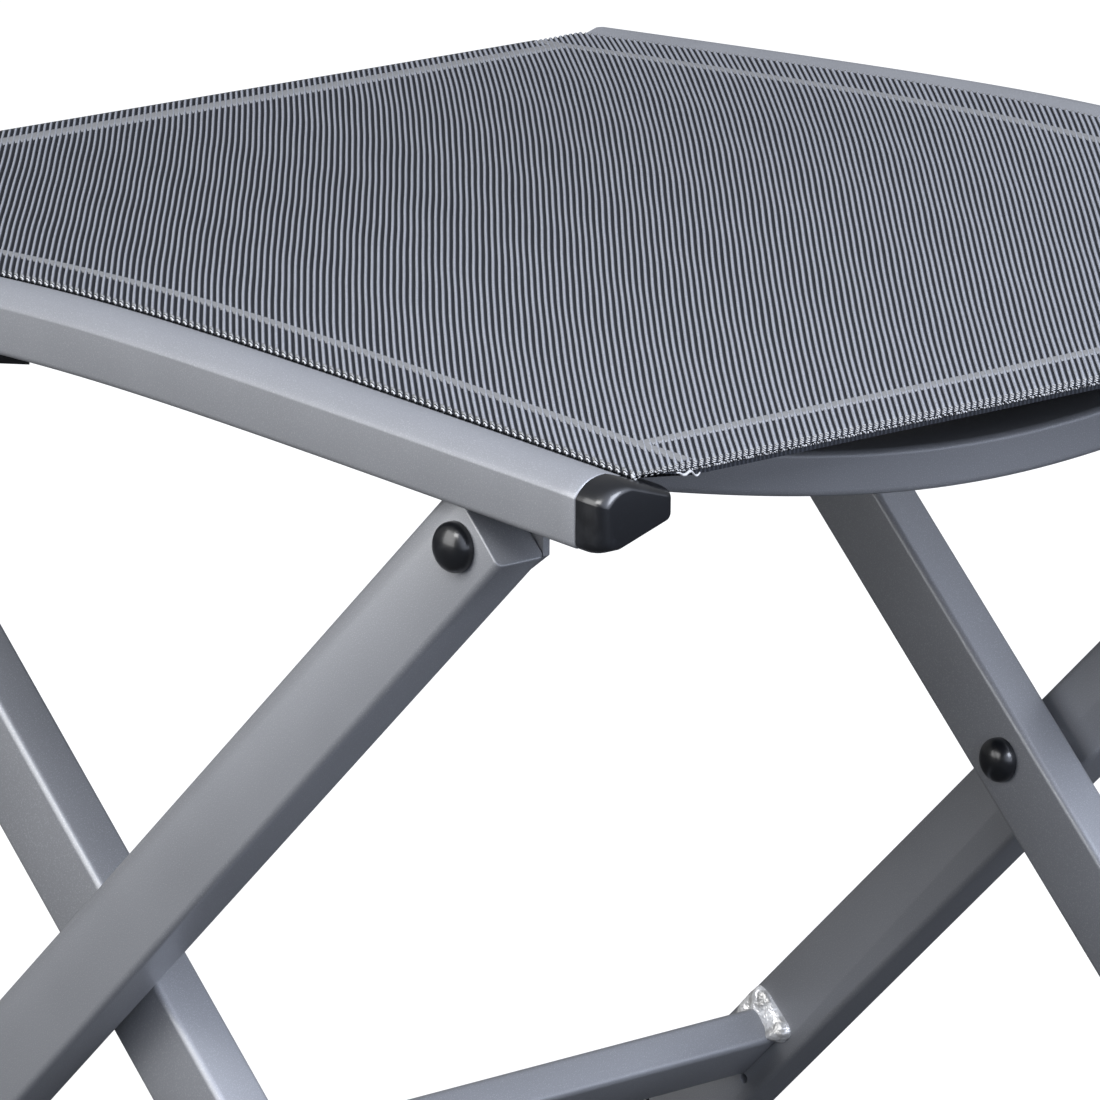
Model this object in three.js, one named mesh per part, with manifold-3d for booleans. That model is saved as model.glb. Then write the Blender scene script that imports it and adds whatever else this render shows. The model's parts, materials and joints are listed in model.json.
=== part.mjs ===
// Folding footstool: two arched side rails carry a stretched sling, and two crossed leg frames fold under it.
// Units are millimetres. X runs along the side rails, Y across from the left rail to the right one, Z is up.
// The front end is +X, where the outer legs are hinged. At the back end, -X, the inner legs carry the seat.
import * as THREE from "three";
import { mergeVertices } from "three/addons/utils/BufferGeometryUtils.js";
import Module from "manifold-3d";

const wasm = await Module();
wasm.setup();

// Overall arrangement
const legAngle = THREE.MathUtils.degToRad(44);
const hingeReach = 279;
const footReach = 286;
const legPlane = 245;
const legGap = 4;
const railOverhang = 8;
const frontOverhang = 64.3;
const backOverhang = 67.3;
const hingeDrop = 16;

// Clearances
const restGap = 0.3;
const pinClearance = 0.3;
const topClearance = 1.3;
const cutOverrun = 6;
const mergeTolerance = 0.0003;

// Leg tubes
const legWidth = 32;
const legDepth = 20;
const legWall = 1.5;
const legCorner = 2.2;
const outerTopMargin = 12;
const innerTopMargin = -1;
const soleThickness = 4.54;

// Straight cross tubes between the lower legs
const braceWidth = 28;
const braceHeight = 15.5;
const braceWall = 1.5;
const braceCorner = 2;
const braceInset = 68;
const braceRise = 1.3;
const ventRadius = 2;
const ventPastBrace = 14;
const ventSlip = 8;

// Seat end bars, bent down in the middle
const barDepth = 28;
const barHeight = 15.5;
const barWall = 1.5;
const barCorner = 2;
const barPastHinge = 3.3;
const barLift = 2.42;
const bowSlopeShare = 0.293;
const bowBend = 150;

// Carrying bar between the inner legs, bent like the end bars
const carrierDepth = 20;
const carrierHeight = 13.5;
const carrierInset = 17.48;
const carrierDrop = 22.6;

// Side rail profile, measured inward from the outer wall and up from the lower edge
const railHeight = 22.8;
const railWall = 1.6;
const railFlat = 16.2;
const railCorner = 2.4;
const shoulderInset = 3.2;
const shoulderHeight = 20.2;
const crestInset = 12.5;
const soleInset = 8;
const noseLow = 8;
const noseHigh = 16.8;
const noseRound = 1.8;
const noseMargin = 1.9;
const archSlopeShare = 0.058;
const archBend = 83;

// Welt channel in the rail's top and the welt rod in it
const channelMargin = 12;
const channelRadius = 3.9;
const channelLip = 1.4;
const channelMouth = 2.6;
const weltRadius = 2.3;

// Sling
const slingThickness = 1;
const slingOverhang = 4;
const slingInset = 1;
const slingSag = 5;
const slingLift = 0.5;

// End caps and plugs
const capLength = 11.5;
const capRound = 6;
const capInset = 2.2;
const shankLength = 16;
const plugRecess = 1;
const plugFlange = 2;

// Hinge bolts, pivot bolts and their covers
const boltRadius = 4;
const boltHeadRadius = 5.6;
const boltHeadHeight = 4;
const nutRadius = 7;
const nutHeight = 5;
const coverWall = 1.25;
const coverRoof = 2.3;
const washerRadius = 8.5;
const insertRadius = 5.6;
const insertLength = 12;
const insertFlange = 1;
const insertFlangeRadius = 7.5;
const bracketThickness = 2.8;
const bracketTongue = 13.5;
const bracketFront = 18.3;
const bracketBack = 19;
const bracketShoulder = 3;

// Rest pads clipped round the carrying bar
const padWidth = 32;
const padPlace = 128;
const padFlange = 2.5;
const padLip = 2.2;
const padLipHeight = 1.6;

// Foot caps
const footWall = 0.8;
const soleLength = 27;
const footToe = 8;
const footHeel = 12;

// Counts
const archSteps = 14;
const capSteps = 6;
const bowSteps = 16;
const slingSteps = 20;
const roundSegments = 5;
const cornerSteps = 2;
const boltSegments = 20;
const coverSteps = 6;
const nutSides = 6;

// Places worked out from the driving sizes
const cosLeg = Math.cos(legAngle);
const sinLeg = Math.sin(legAngle);
const pivotHeight = footReach * sinLeg + legWidth / 2 * cosLeg + soleThickness;
const hingeX = hingeReach * cosLeg;
const hingeZ = pivotHeight + hingeReach * sinLeg;
const outerTopReach = hingeReach + outerTopMargin;
const innerTopReach = hingeReach + innerTopMargin;
const braceReach = footReach - braceInset;
const railFront = hingeX + frontOverhang;
const railBack = hingeX + backOverhang;
const slingFront = railFront + slingOverhang;
const slingBack = railBack - slingInset;
const barFront = hingeX + barPastHinge;
const carrierFront = innerTopReach * cosLeg - carrierInset;
const railPlane = legPlane + railOverhang;
const railWidth = railOverhang + legDepth + restGap + bracketThickness + noseMargin;
const channelInset = railWidth - channelMargin;
const nosePlane = railPlane - railWidth;
const legInside = legPlane - legDepth;
const innerLegPlane = legInside - legGap;
const innerLegInside = innerLegPlane - legDepth;
const coverBore = boltHeadRadius + restGap;
const coverRadius = coverBore + coverWall * 2;
const coverHeight = boltHeadHeight + restGap + coverRoof;
const frameShift = (railFront + restGap + capLength - railBack) / 2;
const crestFall = (railHeight - noseHigh) / (railWidth - crestInset);
const railCrown = hingeZ + hingeDrop + archFall(hingeX);
const barMiddle = archHeight(barFront) + barLift - bowRise(nosePlane);
const carrierMiddle = barMiddle - carrierDrop;
const sides = [
  { name: "left", sign: -1 },
  { name: "right", sign: 1 },
];

// Finishes
const powderCoat = { color: 0x8d9096, roughness: 0.42, metalness: 0.55 };
const blackPlastic = { color: 0x1b1c1f, roughness: 0.45, metalness: 0 };
const zincSteel = { color: 0xb9bcc0, roughness: 0.35, metalness: 0.9 };
const slingMesh = { color: 0x5c6068, roughness: 0.8, metalness: 0 };
const whitePlastic = { color: 0xd8d8d2, roughness: 0.5, metalness: 0 };

// Fall of the rail's arch at x below its crown: level in the middle, near straight towards both ends
function archFall(x) {
  return archSlopeShare * (Math.hypot(x, archBend) - archBend);
}

// Height of the rail's lower edge at x
function archHeight(x) {
  return railCrown - archFall(x);
}

// Rise of a bent bar at y above its middle
function bowRise(y) {
  return bowSlopeShare * (Math.hypot(y, bowBend) - bowBend);
}

// Height of the rail's sloping top at an inset between the crest and the nose
function railTop(inset) {
  return railHeight - crestFall * (inset - crestInset);
}

// A manifold solid of a geometry, turned to face outwards
function toSolid(geometry) {
  const bare = new THREE.BufferGeometry();
  const loose = geometry.index ? geometry.toNonIndexed() : geometry;
  bare.setAttribute("position", loose.getAttribute("position"));
  const merged = mergeVertices(bare, mergeTolerance);
  const vertProperties = new Float32Array(merged.attributes.position.array);
  const triVerts = new Uint32Array(merged.index.array);
  const solid = new wasm.Manifold(new wasm.Mesh({ numProp: 3, vertProperties, triVerts }));
  if (solid.volume() >= 0) {
    return solid;
  }
  for (let i = 0; i < triVerts.length; i += 3) {
    [triVerts[i + 1], triVerts[i + 2]] = [triVerts[i + 2], triVerts[i + 1]];
  }
  return new wasm.Manifold(new wasm.Mesh({ numProp: 3, vertProperties, triVerts }));
}

// A three.js geometry of a manifold solid
function toGeometry(solid) {
  const mesh = solid.getMesh();
  const geometry = new THREE.BufferGeometry();
  const places = new Float32Array(mesh.numVert * 3);
  for (let i = 0; i < mesh.numVert; i += 1) {
    for (let axis = 0; axis < 3; axis += 1) {
      places[i * 3 + axis] = mesh.vertProperties[i * mesh.numProp + axis];
    }
  }
  geometry.setAttribute("position", new THREE.BufferAttribute(places, 3));
  geometry.setIndex(Array.from(mesh.triVerts));
  const faceted = geometry.toNonIndexed();
  faceted.computeVertexNormals();
  return faceted;
}

function facingOut(geometry) {
  return toGeometry(toSolid(geometry));
}

function join(...geometries) {
  return toGeometry(geometries.map(toSolid).reduce((sum, solid) => sum.add(solid)));
}

function cut(geometry, ...cutters) {
  return toGeometry(cutters.map(toSolid).reduce((rest, solid) => rest.subtract(solid), toSolid(geometry)));
}

function box(sizeX, sizeY, sizeZ, centreX, centreY, centreZ) {
  return new THREE.BoxGeometry(sizeX, sizeY, sizeZ).translate(centreX, centreY, centreZ);
}

// A round pin along Y between two places
function pin(radius, fromY, toY, x, z) {
  return new THREE.CylinderGeometry(radius, radius, Math.abs(toY - fromY), boltSegments)
    .translate(x, (fromY + toY) / 2, z);
}

// An outline that runs anticlockwise, so that its holes face the right way when it is extruded
function anticlockwise(shape) {
  const drawn = shape.extractPoints(roundSegments);
  const turnsBack = THREE.ShapeUtils.isClockWise(drawn.shape);
  const outline = new THREE.Shape(turnsBack ? drawn.shape.reverse() : drawn.shape);
  outline.holes = drawn.holes.map((hole) => new THREE.Path(hole));
  return outline;
}

// Extrudes an outline of inset and height along X, between two places
function alongX(shape, fromX, toX, steps) {
  const geometry = new THREE.ExtrudeGeometry(anticlockwise(shape), {
    depth: toX - fromX,
    steps,
    bevelEnabled: false,
    curveSegments: roundSegments,
  });
  const turned = new THREE.Matrix4().set(0, 0, 1, fromX, 1, 0, 0, 0, 0, 1, 0, 0, 0, 0, 0, 1);
  return geometry.applyMatrix4(turned);
}

// Extrudes an outline of x and height along Y, between two places
function alongY(shape, fromY, toY, steps) {
  const geometry = new THREE.ExtrudeGeometry(anticlockwise(shape), {
    depth: toY - fromY,
    steps,
    bevelEnabled: false,
    curveSegments: roundSegments,
  });
  return geometry.rotateX(Math.PI / 2).translate(0, toY, 0);
}

// Moves each point up by a rise that depends on its place
function bent(geometry, rise) {
  const places = geometry.getAttribute("position");
  for (let i = 0; i < places.count; i += 1) {
    places.setZ(i, places.getZ(i) + rise(places.getX(i), places.getY(i)));
  }
  return geometry;
}

// Rectangle with rounded corners, each drawn in a few straight steps
function roundedRectangle(width, height, radius, centreX = 0, centreY = 0) {
  const points = [];
  for (let corner = 0; corner < 4; corner += 1) {
    const right = corner === 1 || corner === 2 ? 1 : -1;
    const up = corner > 1 ? 1 : -1;
    const middleX = centreX + right * (width / 2 - radius);
    const middleY = centreY + up * (height / 2 - radius);
    for (let step = 0; step <= cornerSteps; step += 1) {
      const turn = Math.PI + (corner + step / cornerSteps) * Math.PI / 2;
      points.push(new THREE.Vector2(middleX + radius * Math.cos(turn), middleY + radius * Math.sin(turn)));
    }
  }
  return new THREE.Shape(points);
}

// A rectangular tube's section with its bore
function tubeSection(width, height, radius, wall, centreX = 0, centreY = 0) {
  const section = roundedRectangle(width, height, radius, centreX, centreY);
  const bore = roundedRectangle(width - wall * 2, height - wall * 2, radius / 2, centreX, centreY);
  section.holes.push(bore);
  return section;
}

// The rail's outline for one side; the welt channel is open to the top when it is asked for
function railOutline(sign, withChannel) {
  const outline = new THREE.Shape();
  const place = (inset) => sign * (railPlane - inset);
  const topLine = (inset) => outline.lineTo(place(inset), railTop(inset));
  outline.moveTo(place(0), railCorner);
  outline.quadraticCurveTo(place(0), 0, place(railCorner), 0);
  outline.lineTo(place(soleInset), 0);
  outline.lineTo(place(railWidth - noseRound), noseLow - noseRound / 2);
  outline.quadraticCurveTo(place(railWidth), noseLow, place(railWidth), noseLow + noseRound);
  outline.lineTo(place(railWidth), noseHigh - noseRound);
  const crown = railWidth - noseRound;
  outline.quadraticCurveTo(place(railWidth), noseHigh, place(crown), railTop(crown));
  if (withChannel) {
    const lipHeight = Math.sqrt(channelRadius ** 2 - (channelMouth / 2) ** 2);
    const mouth = Math.asin(channelMouth / 2 / channelRadius);
    const floor = railTop(channelInset) - channelLip - lipHeight;
    const inner = sign < 0 ? Math.PI / 2 - mouth : Math.PI / 2 + mouth;
    const outer = sign < 0 ? Math.PI / 2 + mouth : Math.PI / 2 - mouth;
    topLine(channelInset + channelMouth / 2);
    outline.absarc(place(channelInset), floor, channelRadius, inner, outer, sign < 0);
    topLine(channelInset - channelMouth / 2);
  }
  outline.lineTo(place(crestInset), railHeight);
  outline.quadraticCurveTo(place(shoulderInset * 2), railHeight, place(shoulderInset), shoulderHeight);
  outline.quadraticCurveTo(place(0), shoulderHeight * 2 - railHeight, place(0), railFlat);
  return outline;
}

// The rail's long chamber beside the channel; a gap makes it the section of a shank that fits in it
function railChamber(sign, gap) {
  const chamber = new THREE.Path();
  const low = railWall + gap;
  const place = (inset) => sign * (railPlane - inset);
  const inner = channelInset - channelRadius - railWall - gap;
  chamber.moveTo(place(low), low);
  chamber.lineTo(place(soleInset - gap), low);
  chamber.lineTo(place(inner), low + (noseLow / (railWidth - soleInset)) * (inner - soleInset));
  chamber.lineTo(place(inner), railHeight - railWall * 2 - gap);
  chamber.lineTo(place(shoulderInset * 2), shoulderHeight - gap);
  chamber.lineTo(place(low + shoulderInset / 2), railFlat);
  chamber.lineTo(place(low), railFlat - railWall);
  return chamber;
}

function channelCentre() {
  return railTop(channelInset) - channelLip - Math.sqrt(channelRadius ** 2 - (channelMouth / 2) ** 2);
}

function makeRail(sign) {
  const section = railOutline(sign, true);
  section.holes.push(railChamber(sign, 0));
  return bent(alongX(section, -railBack, railFront, archSteps), archHeight);
}

// Moulded cap with a rounded face and a shank in the rail's chamber
function makeFrontCap(sign) {
  const face = railFront + restGap;
  const head = rounded(alongX(railOutline(sign, false), face, face + capLength, capSteps), sign, face);
  const chamber = new THREE.Shape(railChamber(sign, restGap).getPoints());
  const shank = alongX(chamber, face - shankLength, face + restGap, 1);
  return facingOut(bent(join(head, shank), archHeight));
}

// Draws the end of a cap in towards its middle, along a quarter of an ellipse
function rounded(geometry, sign, face) {
  const places = geometry.getAttribute("position");
  const middleY = sign * (railPlane - railWidth / 2);
  const middleZ = railHeight / 2;
  for (let i = 0; i < places.count; i += 1) {
    const share = Math.max(0, (places.getX(i) - face - capLength + capRound) / capRound);
    const inset = capInset * (1 - Math.sqrt(Math.max(0, 1 - share ** 2)));
    places.setY(i, middleY + (places.getY(i) - middleY) * (1 - inset * 2 / railWidth));
    places.setZ(i, middleZ + (places.getZ(i) - middleZ) * (1 - inset * 2 / railHeight));
  }
  return geometry;
}

// Flat plug inside the rail's back end
function makeBackPlug(sign) {
  const section = new THREE.Shape(railChamber(sign, restGap).getPoints());
  return bent(alongX(section, plugRecess - railBack, plugRecess + shankLength - railBack, 1), archHeight);
}

// End bar bent down in the middle; its ends meet the rails' noses
function makeEndBar(end) {
  const centre = end * (barFront - barDepth / 2);
  const section = tubeSection(barDepth, barHeight, barCorner, barWall, centre, barHeight / 2);
  const half = nosePlane - restGap;
  return bent(alongY(section, -half, half, bowSteps), (x, y) => barMiddle + bowRise(y));
}

// Sling section: one skin from rod to rod, with a sleeve round each welt rod
function slingOutline() {
  const outline = new THREE.Shape();
  const rod = channelCentre();
  const sleeve = weltRadius + restGap + slingThickness;
  const under = railTop(channelInset) + slingLift;
  const neck = slingThickness / 2;
  const centre = railPlane - channelInset;
  const turn = Math.asin(neck / sleeve);
  const across = (share) => centre * (1 - share * 2);
  outline.moveTo(centre + neck, under + slingThickness);
  for (let i = 1; i < slingSteps; i += 1) {
    outline.lineTo(across(i / slingSteps), under + slingThickness);
  }
  outline.lineTo(-centre - neck, under + slingThickness);
  outline.absarc(-centre, rod, sleeve, Math.PI / 2 + turn, Math.PI * 2.5 - turn);
  outline.lineTo(neck - centre, under);
  for (let i = slingSteps - 1; i > 0; i -= 1) {
    outline.lineTo(across(i / slingSteps), under);
  }
  outline.lineTo(centre - neck, under);
  outline.absarc(centre, rod, sleeve, Math.PI / 2 + turn, Math.PI * 2.5 - turn);
  for (const side of sides) {
    const bore = new THREE.Path();
    bore.absarc(side.sign * centre, rod, weltRadius + restGap, 0, Math.PI * 2);
    outline.holes.push(bore);
  }
  return outline;
}

// The sling follows the rails' arch and hangs a little between them; its sleeves stop short of the front caps
function makeSling() {
  const centre = railPlane - channelInset;
  const across = (y) => 1 - Math.min(1, (y / centre) ** 2);
  const along = (x) => Math.max(0, 1 - (x / slingFront) ** 2);
  const drape = (x, y) => archHeight(x) - slingSag * across(y) * along(x);
  const skin = bent(alongX(slingOutline(), -slingBack, slingFront, archSteps), drape);
  const sleeveEnd = railFront - restGap;
  const reach = slingFront - sleeveEnd + cutOverrun;
  const under = railTop(channelInset) + slingLift;
  const notches = sides.map(({ sign }) => bent(
    box(reach, (channelRadius + cutOverrun) * 2, railHeight, sleeveEnd + reach / 2, sign * centre,
      under - railHeight / 2),
    drape,
  ));
  return cut(skin, ...notches);
}

function makeWeltRod(sign) {
  const section = new THREE.Shape();
  section.absarc(sign * (railPlane - channelInset), channelCentre(), weltRadius, 0, Math.PI * 2);
  return bent(alongX(section, -slingBack, railFront - restGap, archSteps), archHeight);
}

// Hinge plate beside the leg's top, with a rounded tongue round the bolt
function makeBracket(sign) {
  const inside = sign * (legInside - restGap);
  const plate = new THREE.Shape();
  const roof = (x) => archHeight(x) + underside(railPlane - legInside + restGap) - restGap;
  plate.moveTo(hingeX + bracketFront, roof(hingeX + bracketFront));
  plate.lineTo(hingeX - bracketBack, roof(hingeX - bracketBack));
  plate.lineTo(hingeX - bracketBack, hingeZ + bracketShoulder);
  plate.lineTo(hingeX - bracketTongue * cosLeg, hingeZ - bracketTongue * sinLeg);
  plate.absarc(hingeX, hingeZ, bracketTongue, Math.PI + legAngle, Math.PI * 2 - legAngle);
  plate.lineTo(hingeX + bracketFront, hingeZ - bracketShoulder);
  const from = Math.min(inside, inside - sign * bracketThickness);
  const blank = alongY(plate, from, from + bracketThickness, 1);
  const to = from + bracketThickness + cutOverrun;
  return cut(blank, pin(boltRadius + pinClearance, from - cutOverrun, to, hingeX, hingeZ));
}

// Height of the rail's underside at an inset
function underside(inset) {
  return Math.max(0, (inset - soleInset) * (noseLow - noseRound / 2) / (railWidth - noseRound - soleInset));
}

// A turned piece on a Y axis: its profile holds radii and distances from a seat, outwards on one side
function turned(profile, sign, seatY, x, z) {
  const points = profile.map(([radius, away]) => new THREE.Vector2(radius, sign * away));
  const geometry = new THREE.LatheGeometry(points, boltSegments);
  return facingOut(geometry.translate(x, sign * seatY, z));
}

// Bolt with its head outside the outer leg and its shank through the leg and the bracket
function makeHingeBolt(sign) {
  const seat = legPlane + restGap;
  const end = nutHeight + bracketThickness + legDepth + restGap * 3;
  return turned([
    [0, -end], [boltRadius, -end], [boltRadius, 0], [boltHeadRadius, 0],
    [boltHeadRadius, boltHeadHeight], [0, boltHeadHeight],
  ], sign, seat, hingeX, hingeZ);
}

function makeHingeNut(sign) {
  const seat = legInside - restGap * 2 - bracketThickness;
  const nut = new THREE.CylinderGeometry(nutRadius, nutRadius, nutHeight, nutSides)
    .translate(hingeX, sign * (seat - nutHeight / 2), hingeZ);
  const bore = [seat - nutHeight - cutOverrun, seat + cutOverrun].map((y) => sign * y);
  return cut(nut, pin(boltRadius + pinClearance, bore[0], bore[1], hingeX, hingeZ));
}

// Domed cover over a bolt head, hollow towards its seat
function makeCover(sign, seatY, x, z) {
  const dome = [];
  for (let i = 0; i < coverSteps; i += 1) {
    const turn = (i / coverSteps) * Math.PI / 2;
    dome.push([coverRadius * Math.cos(turn), coverWall + (coverHeight - coverWall) * Math.sin(turn)]);
  }
  const roof = boltHeadHeight + restGap;
  return turned([[0, roof], [coverBore, roof], [coverBore, 0], [coverRadius, 0], ...dome, [0, coverHeight]],
    sign, seatY, x, z);
}

// Rounded leg tube with a closed or open top; u runs up the leg from the crossing
function legTube(fromU, toU) {
  return alongX(tubeSection(legDepth, legWidth, legCorner, legWall), fromU, toU, 1);
}

// Outer leg: closed top cut level under the rail, holes for the hinge bolt and the pivot insert
function makeOuterLeg(sign) {
  const centre = sign * (legPlane - legDepth / 2);
  const section = roundedRectangle(legDepth, legWidth, legCorner);
  const lid = alongX(section, outerTopReach - legWall, outerTopReach, 1);
  const tube = join(legTube(-footReach, outerTopReach), lid).translate(0, centre, 0);
  const beside = sign * (legInside - cutOverrun);
  const beyond = sign * (legPlane + cutOverrun);
  const through = pin(boltRadius + pinClearance, beside, beyond, hingeReach, 0);
  const socket = pin(insertRadius + pinClearance, beside, centre, 0, 0);
  const vent = pin(ventRadius, beside, centre, -braceReach - ventPastBrace, -ventSlip);
  return cut(tube, through, socket, vent, headroomBlock());
}

// What stands above the leg's level cut, in the leg's own frame
function headroomBlock() {
  const length = (legWidth + cutOverrun) * 2;
  const width = (legPlane + cutOverrun) * 2;
  const block = box(length * 2, width, length, 0, 0, length / 2 + hingeDrop - topClearance);
  return block.rotateY(legAngle).translate(hingeReach, 0, 0);
}

function makeInnerLeg(sign) {
  const centre = sign * (innerLegPlane - legDepth / 2);
  const tube = legTube(-innerTopReach, footReach).translate(0, centre, 0);
  const reach = legDepth / 2 + cutOverrun;
  return cut(tube, pin(boltRadius + pinClearance, centre - reach, centre + reach, 0, 0));
}

// Straight cross tube between two legs of one frame; end is -1 for the back foot and 1 for the front one
function makeBrace(end, insideY) {
  const section = tubeSection(braceWidth, braceHeight, braceCorner, braceWall, end * braceReach, braceRise);
  const half = insideY - restGap;
  return alongY(section, -half, half, 1);
}

// Foot cap with a level sole and a shank in the leg; end tells which way the foot points along the leg
function makeFootCap(sign, end, planeY) {
  const centre = sign * (planeY - legDepth / 2);
  const half = legWidth / 2 + footWall;
  const mouth = footReach + restGap;
  const heel = (pivotHeight - half * cosLeg) / sinLeg;
  const sole = [heel + soleLength * cosLeg, soleLength * sinLeg - half];
  const hoof = new THREE.Shape();
  hoof.moveTo(end * mouth, -half);
  hoof.lineTo(end * heel, -half);
  hoof.lineTo(end * sole[0], sole[1]);
  hoof.quadraticCurveTo(end * (sole[0] - footWall), half, end * (mouth + footHeel), half);
  hoof.lineTo(end * mouth, half);
  const width = legDepth + footWall * 2;
  const head = alongY(hoof, centre - width / 2, centre + width / 2, 1);
  const shank = legShank(end * (mouth + footToe), end * (mouth - shankLength)).translate(0, centre, 0);
  return join(head, shank);
}

// A block that fits in a leg's bore, between two places along the leg
function legShank(fromU, toU) {
  const fit = legWall + restGap;
  const section = roundedRectangle(legDepth - fit * 2, legWidth - fit * 2, legCorner);
  return alongX(section, Math.min(fromU, toU), Math.max(fromU, toU), 1);
}

// Plug in the inner leg's top
function makeTopPlug(sign) {
  const centre = sign * (innerLegPlane - legDepth / 2);
  const from = -innerTopReach - restGap;
  const flange = alongX(roundedRectangle(legDepth, legWidth, legCorner), from - plugFlange, from, 1);
  const shank = legShank(from - restGap, from + shankLength);
  return join(flange, shank).translate(0, centre, 0);
}

// Pivot bolt: head inside the inner leg, shank through it and the washer into the outer leg's insert
function makePivotBolt(sign) {
  const shank = legDepth + legGap + insertLength;
  return turned([
    [0, -boltHeadHeight], [boltHeadRadius, -boltHeadHeight], [boltHeadRadius, 0], [boltRadius, 0],
    [boltRadius, shank - boltRadius], [0, shank - boltRadius],
  ], sign, innerLegInside - restGap, 0, 0);
}

function makePivotWasher(sign) {
  const thickness = legGap - insertFlange - restGap * 3;
  const bore = boltRadius + pinClearance;
  return turned([
    [bore, 0], [washerRadius, 0], [washerRadius, thickness], [bore, thickness], [bore, 0],
  ], sign, innerLegPlane + restGap, 0, 0);
}

// Flanged insert in the outer leg's inner wall that takes the pivot bolt
function makePivotInsert(sign) {
  const bore = boltRadius + pinClearance;
  const flange = -insertFlange;
  return turned([
    [bore, flange], [insertFlangeRadius, flange], [insertFlangeRadius, 0], [insertRadius, 0],
    [insertRadius, insertLength], [bore, insertLength], [bore, flange],
  ], sign, legInside - restGap, 0, 0);
}

function makeCarrier() {
  const centre = -(carrierFront + carrierDepth / 2);
  const section = tubeSection(carrierDepth, carrierHeight, barCorner, barWall, centre, carrierHeight / 2);
  const half = innerLegInside - restGap;
  return bent(alongY(section, -half, half, bowSteps), (x, y) => carrierMiddle + bowRise(y));
}

// Clip-on pad: flanges down both faces of the carrying bar, lips under it and a flat top for the seat's bar
function makeRestPad(sign) {
  const inner = carrierDepth / 2 + restGap;
  const outer = inner + padFlange;
  const centre = -(carrierFront + carrierDepth / 2);
  const top = barMiddle - carrierMiddle - restGap;
  const roof = carrierHeight + restGap;
  const lip = inner - padLip;
  const clip = new THREE.Shape();
  clip.moveTo(centre - outer, -padLipHeight);
  clip.lineTo(centre - lip, -padLipHeight);
  clip.lineTo(centre - lip, -restGap);
  clip.lineTo(centre - inner, -restGap);
  clip.lineTo(centre - inner, roof);
  clip.lineTo(centre + inner, roof);
  clip.lineTo(centre + inner, -restGap);
  clip.lineTo(centre + lip, -restGap);
  clip.lineTo(centre + lip, -padLipHeight);
  clip.lineTo(centre + outer, -padLipHeight);
  clip.lineTo(centre + outer, top - padFlange);
  clip.quadraticCurveTo(centre + outer, top, centre + outer - padFlange, top);
  clip.lineTo(centre + padFlange - outer, top);
  clip.quadraticCurveTo(centre - outer, top, centre - outer, top - padFlange);
  const from = sign * padPlace - padWidth / 2;
  return bent(alongY(clip, from, from + padWidth, 2), (x, y) => carrierMiddle + bowRise(y));
}

function addPiece(group, name, geometry, finish) {
  const material = new THREE.MeshStandardMaterial(finish);
  const mesh = new THREE.Mesh(geometry, material);
  mesh.name = name;
  group.add(mesh);
}

// Seat: rails, bars, sling and what is fixed to them
function makeSeat() {
  const seat = new THREE.Group();
  for (const { name, sign } of sides) {
    addPiece(seat, `${name}_side_rail`, facingOut(makeRail(sign)), powderCoat);
    addPiece(seat, `${name}_front_end_cap`, makeFrontCap(sign), blackPlastic);
    addPiece(seat, `${name}_back_end_plug`, facingOut(makeBackPlug(sign)), blackPlastic);
    addPiece(seat, `${name}_welt_rod`, facingOut(makeWeltRod(sign)), whitePlastic);
    addPiece(seat, `${name}_hinge_bracket`, makeBracket(sign), powderCoat);
    addPiece(seat, `${name}_hinge_bolt`, makeHingeBolt(sign), zincSteel);
    addPiece(seat, `${name}_hinge_nut`, makeHingeNut(sign), zincSteel);
    addPiece(seat, `${name}_hinge_cover`, makeCover(sign, legPlane + restGap, hingeX, hingeZ), blackPlastic);
  }
  addPiece(seat, "front_seat_bar", facingOut(makeEndBar(1)), powderCoat);
  addPiece(seat, "back_seat_bar", facingOut(makeEndBar(-1)), powderCoat);
  addPiece(seat, "sling", makeSling(), slingMesh);
  return seat;
}

// Outer leg frame in its own frame: origin at the crossing, X up the legs
function makeOuterFrame() {
  const frame = new THREE.Group();
  for (const { name, sign } of sides) {
    addPiece(frame, `${name}_outer_leg`, makeOuterLeg(sign), powderCoat);
    addPiece(frame, `${name}_outer_foot_cap`, makeFootCap(sign, -1, legPlane), blackPlastic);
    addPiece(frame, `${name}_pivot_insert`, makePivotInsert(sign), zincSteel);
  }
  addPiece(frame, "outer_cross_tube", facingOut(makeBrace(-1, legInside)), powderCoat);
  frame.position.z = pivotHeight;
  frame.rotation.y = -legAngle;
  return frame;
}

// Inner leg frame in its own frame: origin at the crossing, X down the legs
function makeInnerFrame() {
  const frame = new THREE.Group();
  for (const { name, sign } of sides) {
    addPiece(frame, `${name}_inner_leg`, makeInnerLeg(sign), powderCoat);
    addPiece(frame, `${name}_inner_foot_cap`, makeFootCap(sign, 1, innerLegPlane), blackPlastic);
    addPiece(frame, `${name}_top_plug`, makeTopPlug(sign), blackPlastic);
    addPiece(frame, `${name}_pivot_bolt`, makePivotBolt(sign), zincSteel);
    addPiece(frame, `${name}_pivot_washer`, makePivotWasher(sign), whitePlastic);
    addPiece(frame, `${name}_pivot_cover`, makeCover(-sign, -innerLegInside + restGap, 0, 0), blackPlastic);
  }
  addPiece(frame, "inner_cross_tube", facingOut(makeBrace(1, innerLegInside)), powderCoat);
  frame.position.z = pivotHeight;
  frame.rotation.y = legAngle;
  return frame;
}

// The carrying bar is level while the stool stands, so it is drawn in the stool's frame
function makeCarrierGroup() {
  const group = new THREE.Group();
  addPiece(group, "carrying_bar", facingOut(makeCarrier()), powderCoat);
  for (const { name, sign } of sides) {
    addPiece(group, `${name}_rest_pad`, facingOut(makeRestPad(sign)), blackPlastic);
  }
  return group;
}

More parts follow.
